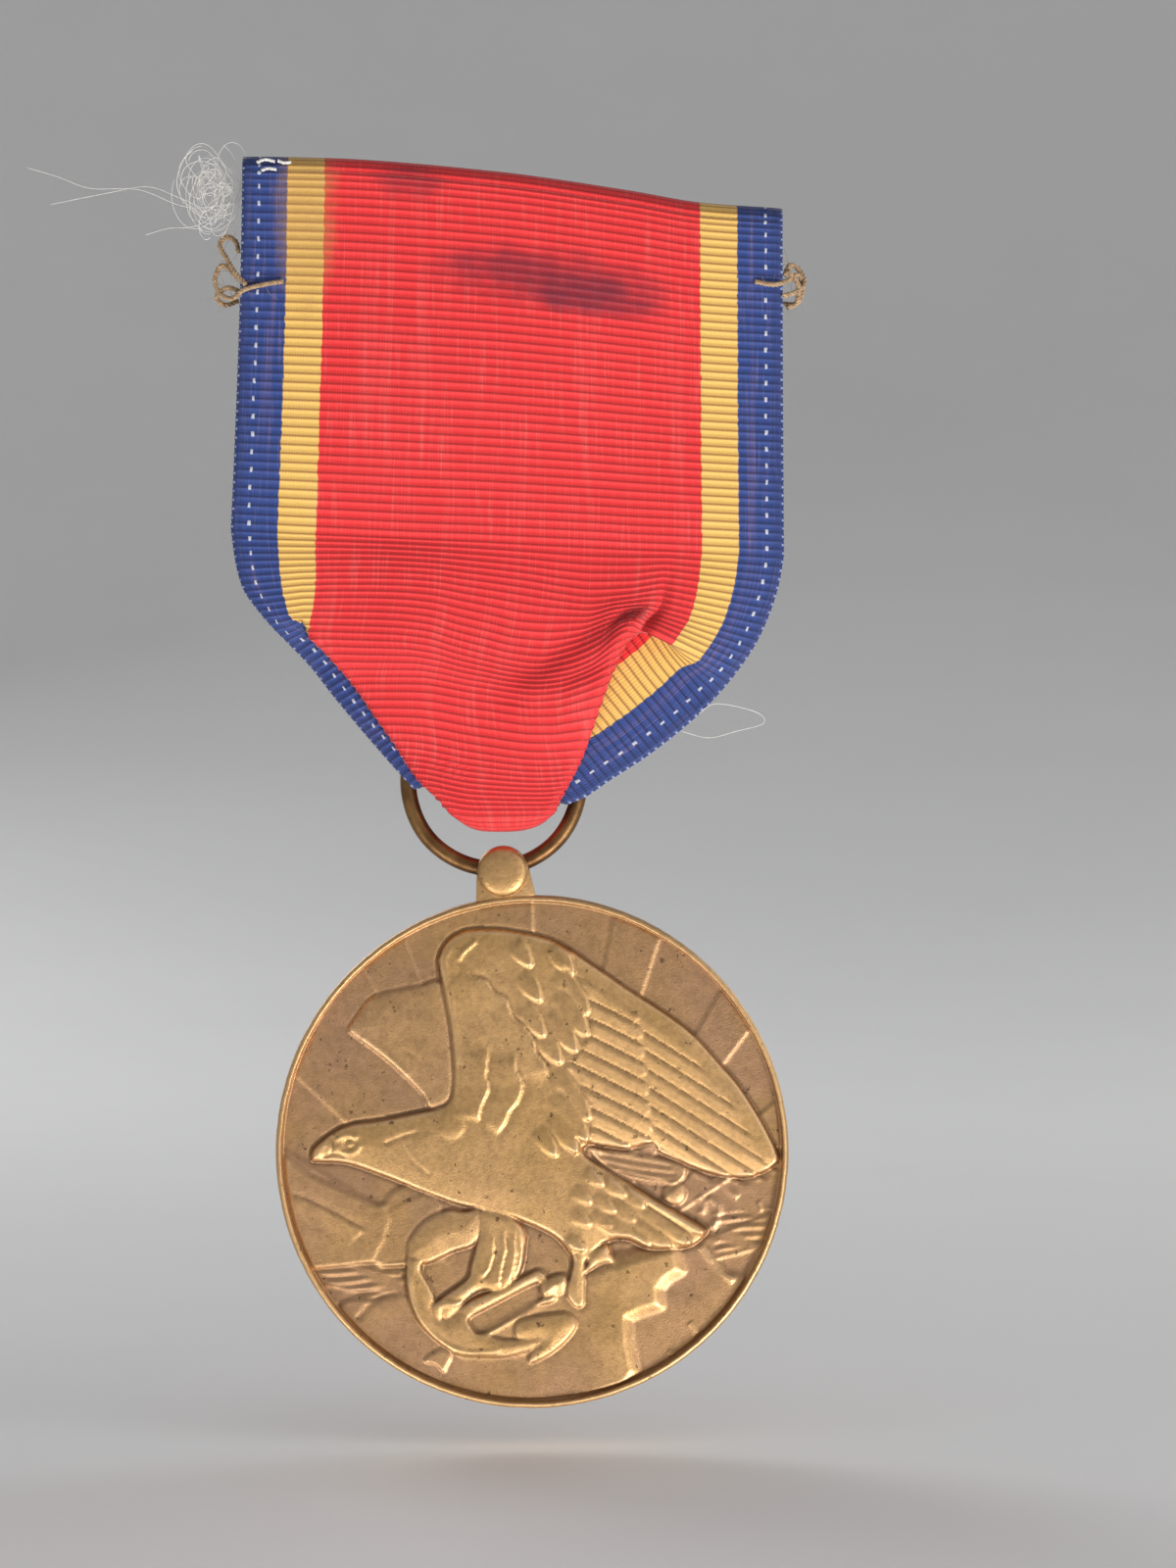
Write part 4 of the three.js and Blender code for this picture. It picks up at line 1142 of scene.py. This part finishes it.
def make_tuft():
    """A tangle of fine white thread at the upper left corner."""
    rng = np.random.default_rng(SEED + 1)
    low, high = node_box("frayed_thread")
    centre, half = (low + high) / 2, (high - low) / 2
    root = centre + half * [0.75, -0.2, 0.1]
    hairs = []
    for i in range(TUFT_HAIRS):
        turn = rng.uniform(0, 2 * math.pi)
        size = rng.uniform(0.35, 1.0)
        middle = centre + half * rng.normal(0, 0.28, 3)
        sweep = rng.uniform(0.7, 1.7) * math.pi
        angle = turn + np.linspace(0, sweep, HAIR_STEPS) * rng.choice([-1, 1])
        tilt = rng.uniform(-0.5, 0.5)
        loop = np.stack([np.cos(angle), tilt * np.sin(angle), np.sin(angle)], axis=1)
        loop *= half * size * rng.uniform(0.45, 0.95)
        phase = np.linspace(0, rng.uniform(5, 11), HAIR_STEPS) + turn
        wobble = 0.12 * np.sin(phase)[:, None] * rng.normal(0, 1, 3)
        path = middle + loop + wobble
        if i % 3 == 0:
            pull = np.linspace(1, 0, HAIR_STEPS)[:, None] ** 2
            path = path * (1 - pull) + root * pull
        hairs.append(path)
    tuft = tubes_piece("frayed_tuft", hairs, "brooch", 0.018, 5)
    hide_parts("frayed_thread")


def make_strays():
    """Long hairs that leave the tuft, the white stitch ends under it and a loose loop at the right."""
    strays = [
        [(-17.0, -3.6, 3.2), (-20.0, -3.6, 3.0), (-23.0, -3.4, 4.1), (-26.0, -3.3, 4.2), (-28.0, -3.3, 4.9),
         (-30.0, -3.3, 5.5)],
        [(-17.4, -3.4, 2.2), (-20.5, -3.4, 3.6), (-22.5, -3.3, 4.3), (-25, -3.3, 3.9), (-28.5, -3.3, 3.2)],
        [(-17.2, -3.4, 3.4), (-19.3, -3.5, 1.9), (-21.2, -3.4, 1.7), (-22.6, -3.3, 1.3)],
        [(-17.2, -3.4, 4.6), (-18.4, -3.5, 6.6), (-19.4, -3.5, 6.9), (-20.1, -3.4, 6), (-19.4, -3.4, 4.8)],
    ]
    strays = [smooth_line(path, THREAD_STEPS) for path in strays]
    tubes_piece("stray_hairs", strays, "brooch", 0.02, 4)
    ends = [
        [(-15.6, -4.45, 5.65), (-15.1, -4.6, 5.8), (-14.5, -4.5, 5.7)],
        [(-15.3, -4.5, 5.15), (-14.9, -4.62, 5.25), (-14.4, -4.5, 5.2)],
        [(-14.3, -4.5, 5.75), (-13.9, -4.6, 5.6), (-13.5, -4.5, 5.65)],
    ]
    bits = [strand for end in ends for strand in twisted(end, 3, 0.05, 0.8)]
    tubes_piece("stitch_ends", bits, "brooch", 0.055)
    band = [(10.6, -4.5, -29.5), (12.3, -4.6, -29.9), (14.0, -4.6, -29.5), (15.7, -4.4, -29.0),
            (15.2, -4.4, -28.3), (12.8, -4.6, -27.8), (11.7, -4.5, -28.4)]
    tubes_piece("stray_loop", [smooth_line(band, THREAD_STEPS)], "brooch", 0.022, 4)


def make_seam():
    """The whip stitches that hold the flap's end behind, over and over its cut edge."""
    low, high = node_box("rear_seam_thread")
    slope = joint_axis("lock_turn")
    right = np.array([-slope[0], 0, -slope[2]])
    centre = (low + high) / 2
    depth = high[1] - 0.05
    stitches = 17
    paths = []
    for i in range(stitches):
        middle = centre + right * (i / (stitches - 1) - 0.5) * 30.4
        lean = np.array([0.28, 0, 0])
        rise = np.array([0, 0, 0.62])
        start, end = middle - rise - lean, middle + rise + lean
        start[1] = end[1] = depth - 0.26
        top = (start + end) / 2
        top[1] = depth
        swelling = [0, 0.06, 0]
        stitch = [start, (start + top) / 2 + swelling, top, (top + end) / 2 + swelling, end]
        paths += twisted(stitch, 2, 0.06, 0.5)
    seam = tubes_piece("rear_stitches", paths, "brooch", 0.07)
    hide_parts("rear_seam_thread")


# ---- Materials ----


class Look:
    """A node material being built. Each call adds a node and returns its output socket."""

    def __init__(self, name, roughness, metallic=0.0):
        self.material = bpy.data.materials.new(name)
        self.material.use_nodes = True
        self.tree = self.material.node_tree
        self.shader = self.tree.nodes["Principled BSDF"]
        self.shader.inputs["Metallic"].default_value = metallic
        self.shader.inputs["Roughness"].default_value = roughness
        self.coordinates = self.tree.nodes.new("ShaderNodeTexCoord").outputs["Object"]

    def put(self, socket, value):
        if hasattr(value, "links"):
            self.tree.links.new(value, socket)
        else:
            socket.default_value = value

    def set(self, name, value):
        self.put(self.shader.inputs[name], value)

    def math(self, operation, a, b=0.0):
        node = self.tree.nodes.new("ShaderNodeMath")
        node.operation = operation
        self.put(node.inputs[0], a)
        self.put(node.inputs[1], b)
        return node.outputs[0]

    def between(self, value, low, high):
        """0 at low, 1 at high and past it."""
        node = self.tree.nodes.new("ShaderNodeMapRange")
        node.interpolation_type = "SMOOTHSTEP"
        self.put(node.inputs["Value"], value)
        node.inputs["From Min"].default_value = low
        node.inputs["From Max"].default_value = high
        return node.outputs["Result"]

    def mix(self, factor, a, b, blend="MIX"):
        node = self.tree.nodes.new("ShaderNodeMix")
        node.data_type = "RGBA"
        node.blend_type = blend
        self.put(node.inputs["Factor"], factor)
        self.put(node.inputs[6], colour(a) if isinstance(a, tuple) else a)
        self.put(node.inputs[7], colour(b) if isinstance(b, tuple) else b)
        return node.outputs[2]

    def tone(self, base, mask, strength, tint):
        """The base turned towards tint by strength where the mask is 1."""
        return self.mix(self.math("MULTIPLY", mask, strength), base, tint)

    def uneven_roughness(self, low, spread, size, detail):
        wander = self.math("MULTIPLY", self.noise(size, detail), spread)
        self.set("Roughness", self.math("ADD", low, wander))

    def from_middle(self, value, pitch):
        """Distance from the middle of each repeat, as a share of the pitch."""
        share = self.math("FRACT", self.math("DIVIDE", value, pitch))
        return self.math("ABSOLUTE", self.math("SUBTRACT", share, 0.5))

    def stretched(self, x=1.0, y=1.0, z=1.0, source=None):
        node = self.tree.nodes.new("ShaderNodeMapping")
        node.inputs["Scale"].default_value = (x, y, z)
        self.put(node.inputs["Vector"], source or self.coordinates)
        return node.outputs["Vector"]

    def noise(self, size, detail=2.0, source=None, roughness=0.55):
        """Soft noise whose features are about size millimetres across, in object space."""
        node = self.tree.nodes.new("ShaderNodeTexNoise")
        node.inputs["Scale"].default_value = 1 / (size * MM) if source is None else 1 / size
        node.inputs["Detail"].default_value = detail
        node.inputs["Roughness"].default_value = roughness
        self.put(node.inputs["Vector"], source or self.coordinates)
        return node.outputs["Fac"]

    def attribute(self, name):
        node = self.tree.nodes.new("ShaderNodeAttribute")
        node.attribute_name = name
        return node.outputs["Fac"]

    def combine(self, x, y, z=0.0):
        node = self.tree.nodes.new("ShaderNodeCombineXYZ")
        for socket, value in zip(node.inputs, (x, y, z)):
            self.put(socket, value)
        return node.outputs[0]

    def bump(self, height, depth, strength=1.0):
        """Depth is in millimetres."""
        node = self.tree.nodes.new("ShaderNodeBump")
        node.inputs["Strength"].default_value = strength
        node.inputs["Distance"].default_value = depth * MM
        self.put(node.inputs["Height"], height)
        self.set("Normal", node.outputs["Normal"])


def colour(rgb):
    """The colour with full opacity, as sockets take it."""
    return (*rgb, 1.0)


def bronze_look(name, relief):
    """Toned bronze: gold-brown on high places and pinkish brown in the field, specked and grained, with a
    painted highlight where a point stands over its surroundings.
    """
    look = Look(name, 0.42, 0.88)
    drift = look.noise(5.0, 3)
    fine = look.noise(0.35, 4)
    raised = look.between(look.attribute("height"), 0.05, 0.44) if relief else 0.75
    base = look.mix(raised, (0.435, 0.255, 0.142), (0.60, 0.365, 0.160))
    base = look.mix(look.between(drift, 0.35, 0.7), base, look.mix(0.5, base, (0.50, 0.30, 0.10)))
    base = look.tone(base, look.between(fine, 0.35, 0.75), 0.45, (0.30, 0.17, 0.08))
    if relief:
        over = look.attribute("cavity")
        base = look.tone(base, look.between(over, -0.01, -0.08), 0.6, (0.17, 0.095, 0.05))
        # Painted highlight: lighter wherever a point stands over its surroundings, the rim too.
        base = look.tone(base, look.between(over, 0.015, 0.08), 0.35, (0.85, 0.60, 0.36))
    specks = look.between(look.noise(0.5, 3), 0.655, 0.72)
    base = look.tone(base, specks, 0.7, (0.07, 0.04, 0.025))
    look.set("Base Color", base)
    look.uneven_roughness(0.30, 0.26, 0.9, 4)
    look.bump(look.noise(0.11, 3), 0.02, 0.9)
    return look.material


def ring_look():
    """Drawn bronze wire with a dull brown patina."""
    look = Look("ring_bronze_patina", 0.4, 0.9)
    base = look.mix(look.between(look.noise(2.2, 4), 0.35, 0.7), (0.12, 0.058, 0.022), (0.24, 0.13, 0.05))
    base = look.tone(base, look.between(look.noise(0.25, 3), 0.55, 0.75), 0.6, (0.09, 0.055, 0.03))
    look.set("Base Color", base)
    look.uneven_roughness(0.28, 0.3, 0.5, 3)
    look.bump(look.noise(0.2, 3), 0.012, 0.7)
    return look.material


STRIPES = {
    "red": (0.80, 0.033, 0.037),
    "yellow": (0.80, 0.50, 0.13),
    "blue": (0.028, 0.060, 0.24),
}
# How far in the stripes change colour, and how far in the row of white ticks lies.
BLUE_EDGE, YELLOW_EDGE = (2.82, 2.90), (5.17, 5.25)
TICK_INSET = 1.06
DARK_STAIN = (0.07, 0.012, 0.035)
BROWN_STAIN = (0.16, 0.014, 0.028)
RUST_STAIN = (0.42, 0.22, 0.07)
STAINS = [
    # across, down from the top fold, half width, half height, strength, tint
    (19.6, 7.4, 7.4, 1.9, 0.50, BROWN_STAIN),
    (22.4, 8.2, 4.6, 1.3, 0.55, DARK_STAIN),
    (17.0, 7.0, 4.0, 1.0, 0.30, DARK_STAIN),
    (10.6, 1.9, 2.4, 1.7, 0.50, BROWN_STAIN),
    (4.1, 3.6, 1.9, 7.0, 0.45, RUST_STAIN),
]
# Length along the strip at which the front begins: the flap behind and half the top fold come first.
FRONT_START = 16.6


def ribbon_look():
    """Ribbed rayon: stripes that wander by a warp thread, selvage ticks, old stains, faint streaks and
    painted shade in the grooves between the ribs.
    """
    look = Look("striped_ribbed_cloth", 0.62)
    across, along = look.attribute("across"), look.attribute("along")
    weave = look.combine(across, along)
    jitter = look.math("MULTIPLY", look.math("SUBTRACT", look.noise(0.45, 1, weave), 0.5), 0.22)
    u = look.math("ADD", across, jitter)
    edge = look.math("MINIMUM", u, look.math("SUBTRACT", STRIP_WIDTH, u))
    base = look.mix(look.between(edge, *BLUE_EDGE), STRIPES["blue"], STRIPES["yellow"])
    base = look.mix(look.between(edge, *YELLOW_EDGE), base, STRIPES["red"])
    # Warp threads: fine light and dark lines along the strip, thinner than a rib is high.
    warp = look.noise(1.0, 2, look.stretched(6.5, 0.22, 1, weave))
    base = look.mix(look.between(warp, 0.5, 0.8), base, look.mix(0.10, base, (0.95, 0.55, 0.5)))
    streak = look.noise(1.0, 2, look.stretched(1.1, 0.05, 1, weave))
    base = look.tone(base, look.between(streak, 0.52, 0.75), 0.06, (1.0, 0.5, 0.45))
    rib = look.math("ABSOLUTE", look.math("SINE", look.math("MULTIPLY", along, math.pi / RIB_PITCH)))
    # Painted shade: the grooves between the ribs are darkened.
    groove = look.between(rib, 0.5, 0.05)
    base = look.tone(base, groove, 0.8, look.mix(1.0, base, (0.34, 0.22, 0.26), "MULTIPLY"))
    base = add_selvage(look, base, edge, along)
    base = add_stains(look, base, weave)
    look.set("Base Color", base)
    look.set("Sheen Weight", 0.25)
    look.set("Sheen Roughness", 0.4)
    look.set("Specular IOR Level", 0.35)
    thread = look.math("SINE", look.math("MULTIPLY", across, 2 * math.pi / 0.17))
    fuzz = look.noise(0.12, 2, weave)
    look.bump(look.math("ADD", look.math("MULTIPLY", thread, 0.35), fuzz), 0.03, 0.6)
    return look.material


def add_selvage(look, base, edge, along):
    """A row of white ticks a little way in, and a finer, darker outer edge with white flecks."""
    outer = look.between(edge, 0.75, 0.55)
    base = look.tone(base, outer, 0.35, (0.02, 0.03, 0.10))
    from_tick_line = look.math("ABSOLUTE", look.math("SUBTRACT", edge, TICK_INSET))
    tick_length = look.between(look.from_middle(along, 2 * RIB_PITCH), 0.13, 0.07)
    tick = look.math("MULTIPLY", tick_length, look.between(from_tick_line, 0.10, 0.06))
    fleck_length = look.between(look.from_middle(along, RIB_PITCH), 0.2, 0.12)
    fleck = look.math("MULTIPLY", fleck_length, look.between(edge, 0.16, 0.08))
    base = look.tone(base, tick, 0.7, (0.70, 0.72, 0.78))
    return look.tone(base, fleck, 0.45, (0.62, 0.66, 0.75))


def add_stains(look, base, weave):
    """Soft dark marks, each given by its middle and half size on the strip in millimetres."""
    separate = look.tree.nodes.new("ShaderNodeSeparateXYZ")
    look.put(separate.inputs[0], weave)
    across, along = separate.outputs[0], separate.outputs[1]
    wobble = look.math("SUBTRACT", look.noise(1.6, 3, weave), 0.5)
    for u, down, half_width, half_height, strength, tint in STAINS:
        x = look.math("DIVIDE", look.math("SUBTRACT", across, u), half_width)
        y = look.math("DIVIDE", look.math("SUBTRACT", along, FRONT_START + down), half_height)
        reach = look.math("ADD", look.math("MULTIPLY", x, x), look.math("MULTIPLY", y, y))
        reach = look.math("ADD", reach, look.math("MULTIPLY", wobble, 1.6))
        base = look.tone(base, look.between(reach, 1.5, 0.0), strength, tint)
    return base


def thread_look(name, light, dark):
    """Spun thread, lighter and darker from place to place."""
    look = Look(name, 0.8)
    base = look.mix(look.between(look.noise(0.3, 3), 0.35, 0.7), light, dark)
    look.set("Base Color", base)
    look.set("Sheen Weight", 0.3)
    look.bump(look.noise(0.06, 2), 0.02, 0.7)
    return look.material


def brass_look():
    """Stamped brass, lightly tarnished, with faint rolling marks along its length."""
    look = Look("tarnished_brass", 0.35, 0.95)
    base = look.mix(look.between(look.noise(3.0, 4), 0.35, 0.7), (0.62, 0.43, 0.17), (0.36, 0.23, 0.09))
    base = look.tone(base, look.between(look.noise(0.4, 3), 0.6, 0.8), 0.6, (0.13, 0.08, 0.04))
    look.set("Base Color", base)
    marks = look.noise(0.2, 2, look.stretched(0.08 / MM, 1.0 / MM, 1.0 / MM))
    look.uneven_roughness(0.24, 0.25, 0.8, 3)
    look.bump(marks, 0.01, 0.5)
    return look.material


def steel_look():
    """Nickel-plated steel with fine drawing lines and a few dull spots."""
    look = Look("nickel_plated_steel", 0.25, 1.0)
    base = look.mix(look.between(look.noise(1.4, 4), 0.4, 0.75), (0.66, 0.64, 0.60), (0.42, 0.39, 0.35))
    look.set("Base Color", base)
    look.uneven_roughness(0.18, 0.22, 0.5, 3)
    look.bump(look.noise(0.15, 2, look.stretched(0.1 / MM, 1.0 / MM, 1.0 / MM)), 0.006, 0.5)
    return look.material


def dress_all():
    """Gives every piece and every CAD node in view its own material."""
    bronze = bronze_look("toned_bronze", False)
    relief_bronze = bronze_look("toned_bronze_relief", True)
    tan = thread_look("tan_cotton", (0.46, 0.31, 0.17), (0.24, 0.14, 0.07))
    white = thread_look("white_thread", (0.82, 0.80, 0.76), (0.62, 0.60, 0.58))
    red = thread_look("red_cotton", (0.42, 0.03, 0.035), (0.25, 0.015, 0.02))
    brass = brass_look()
    steel = steel_look()
    looks = [
        (relief_bronze, ["struck_disc"]),
        (bronze, ["knob"]),
        (ring_look(), ["wire_ring"]),
        (ribbon_look(), ["ribbed_ribbon"]),
        (tan, ["left_tack", "right_tack", "left_tack_fuzz", "right_tack_fuzz"]),
        (white, ["frayed_tuft", "stray_hairs", "stray_loop", "stitch_ends"]),
        (red, ["rear_stitches"]),
        (brass, ["brooch_plate", "hinge_bracket", "catch_body", "catch_lock"]),
        (steel, ["hinge_rivet", "brooch_pin"]),
    ]
    for material, names in looks:
        for name in names:
            slots = bpy.data.objects[name].data.materials
            slots.clear()
            slots.append(material)


def soften_cad_parts():
    """Rounds the metal parts' edges a little, and shades their turned faces smooth."""
    for name in ("brooch_plate", "hinge_bracket", "hinge_rivet", "brooch_pin", "catch_body", "catch_lock"):
        node = frame["nodes"][name]
        bevel = node.modifiers.new("worn_edges", "BEVEL")
        bevel.width = 0.06 * MM
        bevel.segments = 2
        bevel.angle_limit = math.radians(40)
        node.data.shade_smooth()


# ---- Stage, lights and camera ----


def make_stage():
    """A pale round studio floor whose edge sweeps up all the way round."""
    floor_drop = 2.6
    floor_radius, wall_radius, wall_height = 300.0, 900.0, 1100.0
    floor = DISC_LOW[2] - floor_drop
    curve = [(0.5, 0), (100, 0), (200, 0), (floor_radius, 0)]
    for i in range(1, 13):
        turn = math.pi / 2 * i / 12
        bend = wall_radius - floor_radius
        curve.append((floor_radius + bend * math.sin(turn), bend * (1 - math.cos(turn))))
    curve.append((wall_radius, wall_height))
    sides = 128
    angle = np.arange(sides) / sides * 2 * math.pi
    points = np.vstack([circle(r, floor + z, angle)[:, [0, 2, 1]] for r, z in curve])
    points[:, 0] += RING_CENTRE[0]
    faces = grid_faces(len(curve), sides, closed=True)
    faces.append(list(range(sides)))
    mesh = mesh_from("studio_floor", points, faces)
    mesh.shade_smooth()
    stage = placed("studio_floor", mesh)
    # The two low lights stand under the floor's level and shine through it.
    stage.visible_shadow = False
    look = Look("pale_paper", 0.85)
    look.set("Base Color", look.mix(look.noise(30.0, 2), (0.84, 0.84, 0.84), (0.87, 0.87, 0.87)))
    mesh.materials.append(look.material)


def area_light(name, direction, distance, size, power, tint):
    """A soft square light that faces the medal from direction."""
    light = bpy.data.lights.new(name, "AREA")
    light.size = size * MM
    light.energy = power
    light.color = tint
    lamp = placed(name, light)
    way = Vector(direction).normalized()
    aim = Vector((CAD_BOX[0] + CAD_BOX[1]) / 2)
    lamp.location = aim + way * distance * MM
    lamp.rotation_mode = "QUATERNION"
    lamp.rotation_quaternion = way.to_track_quat("Z", "Y")
    return lamp


# Name, direction from the medal, distance, size, power and tint.
LIGHTS = [
    ("key_low_right", (0.48, -0.66, -0.58), 360, 105, 1.12, (1.0, 0.97, 0.94)),
    ("low_left", (-0.38, -0.60, -0.70), 380, 120, 0.55, (1.0, 0.99, 0.94)),
    ("fill_left", (-0.75, -0.62, 0.25), 480, 260, 0.08, (0.95, 0.97, 1.0)),
    ("top_front", (0.15, -0.75, 0.65), 520, 320, 0.10, (1, 1, 1)),
    ("side_right", (0.8, -0.55, 0.2), 260, 150, 0.14, (1.0, 0.98, 0.96)),
    ("back_left", (-0.5, 0.75, 0.45), 480, 260, 0.55, (1, 1, 1)),
    ("back_right", (0.7, 0.6, 0.3), 480, 260, 0.40, (1, 1, 1)),
]
LOW_LIGHTS = ("key_low_right", "low_left")


def make_lights():
    """Two low lights from the front bring out the relief, and broad weak ones fill the rest."""
    for row in LIGHTS:
        lamp = area_light(*row)
        # A ray reflected towards a low light meets the floor first, so only the light's own sampling counts.
        lamp.data.cycles.use_multiple_importance_sampling = lamp.name not in LOW_LIGHTS
    world = bpy.data.worlds.new("soft_studio")
    world.use_nodes = True
    background = world.node_tree.nodes["Background"]
    background.inputs["Color"].default_value = (0.93, 0.94, 0.96, 1)
    background.inputs["Strength"].default_value = 0.30
    bpy.context.scene.world = world


def make_camera():
    """Straight on and level with the ring, with the hanging medal a little left of the middle."""
    lens, sensor, view_height = 100.0, 36.0, 96.97
    clip_near, clip_far = 0.01, 10
    aim = RING_CENTRE + [5.855, -1.0, -0.1]
    distance = view_height * lens / sensor
    data = bpy.data.cameras.new("camera")
    data.lens = lens
    data.sensor_width = sensor
    data.clip_start = clip_near
    data.clip_end = clip_far
    camera = placed("camera", data)
    camera.location = Vector((aim + [0, -distance, 0]) * MM)
    camera.rotation_euler = (math.pi / 2, 0, 0)
    bpy.context.scene.camera = camera
    bpy.context.scene.view_settings.view_transform = "Standard"


# ---- The model ----

make_camera()
make_stage()
make_lights()
make_disc()
make_knob()
make_ring()
make_ribbon()
make_tacks()
make_tuft()
make_strays()
make_seam()
soften_cad_parts()
dress_all()
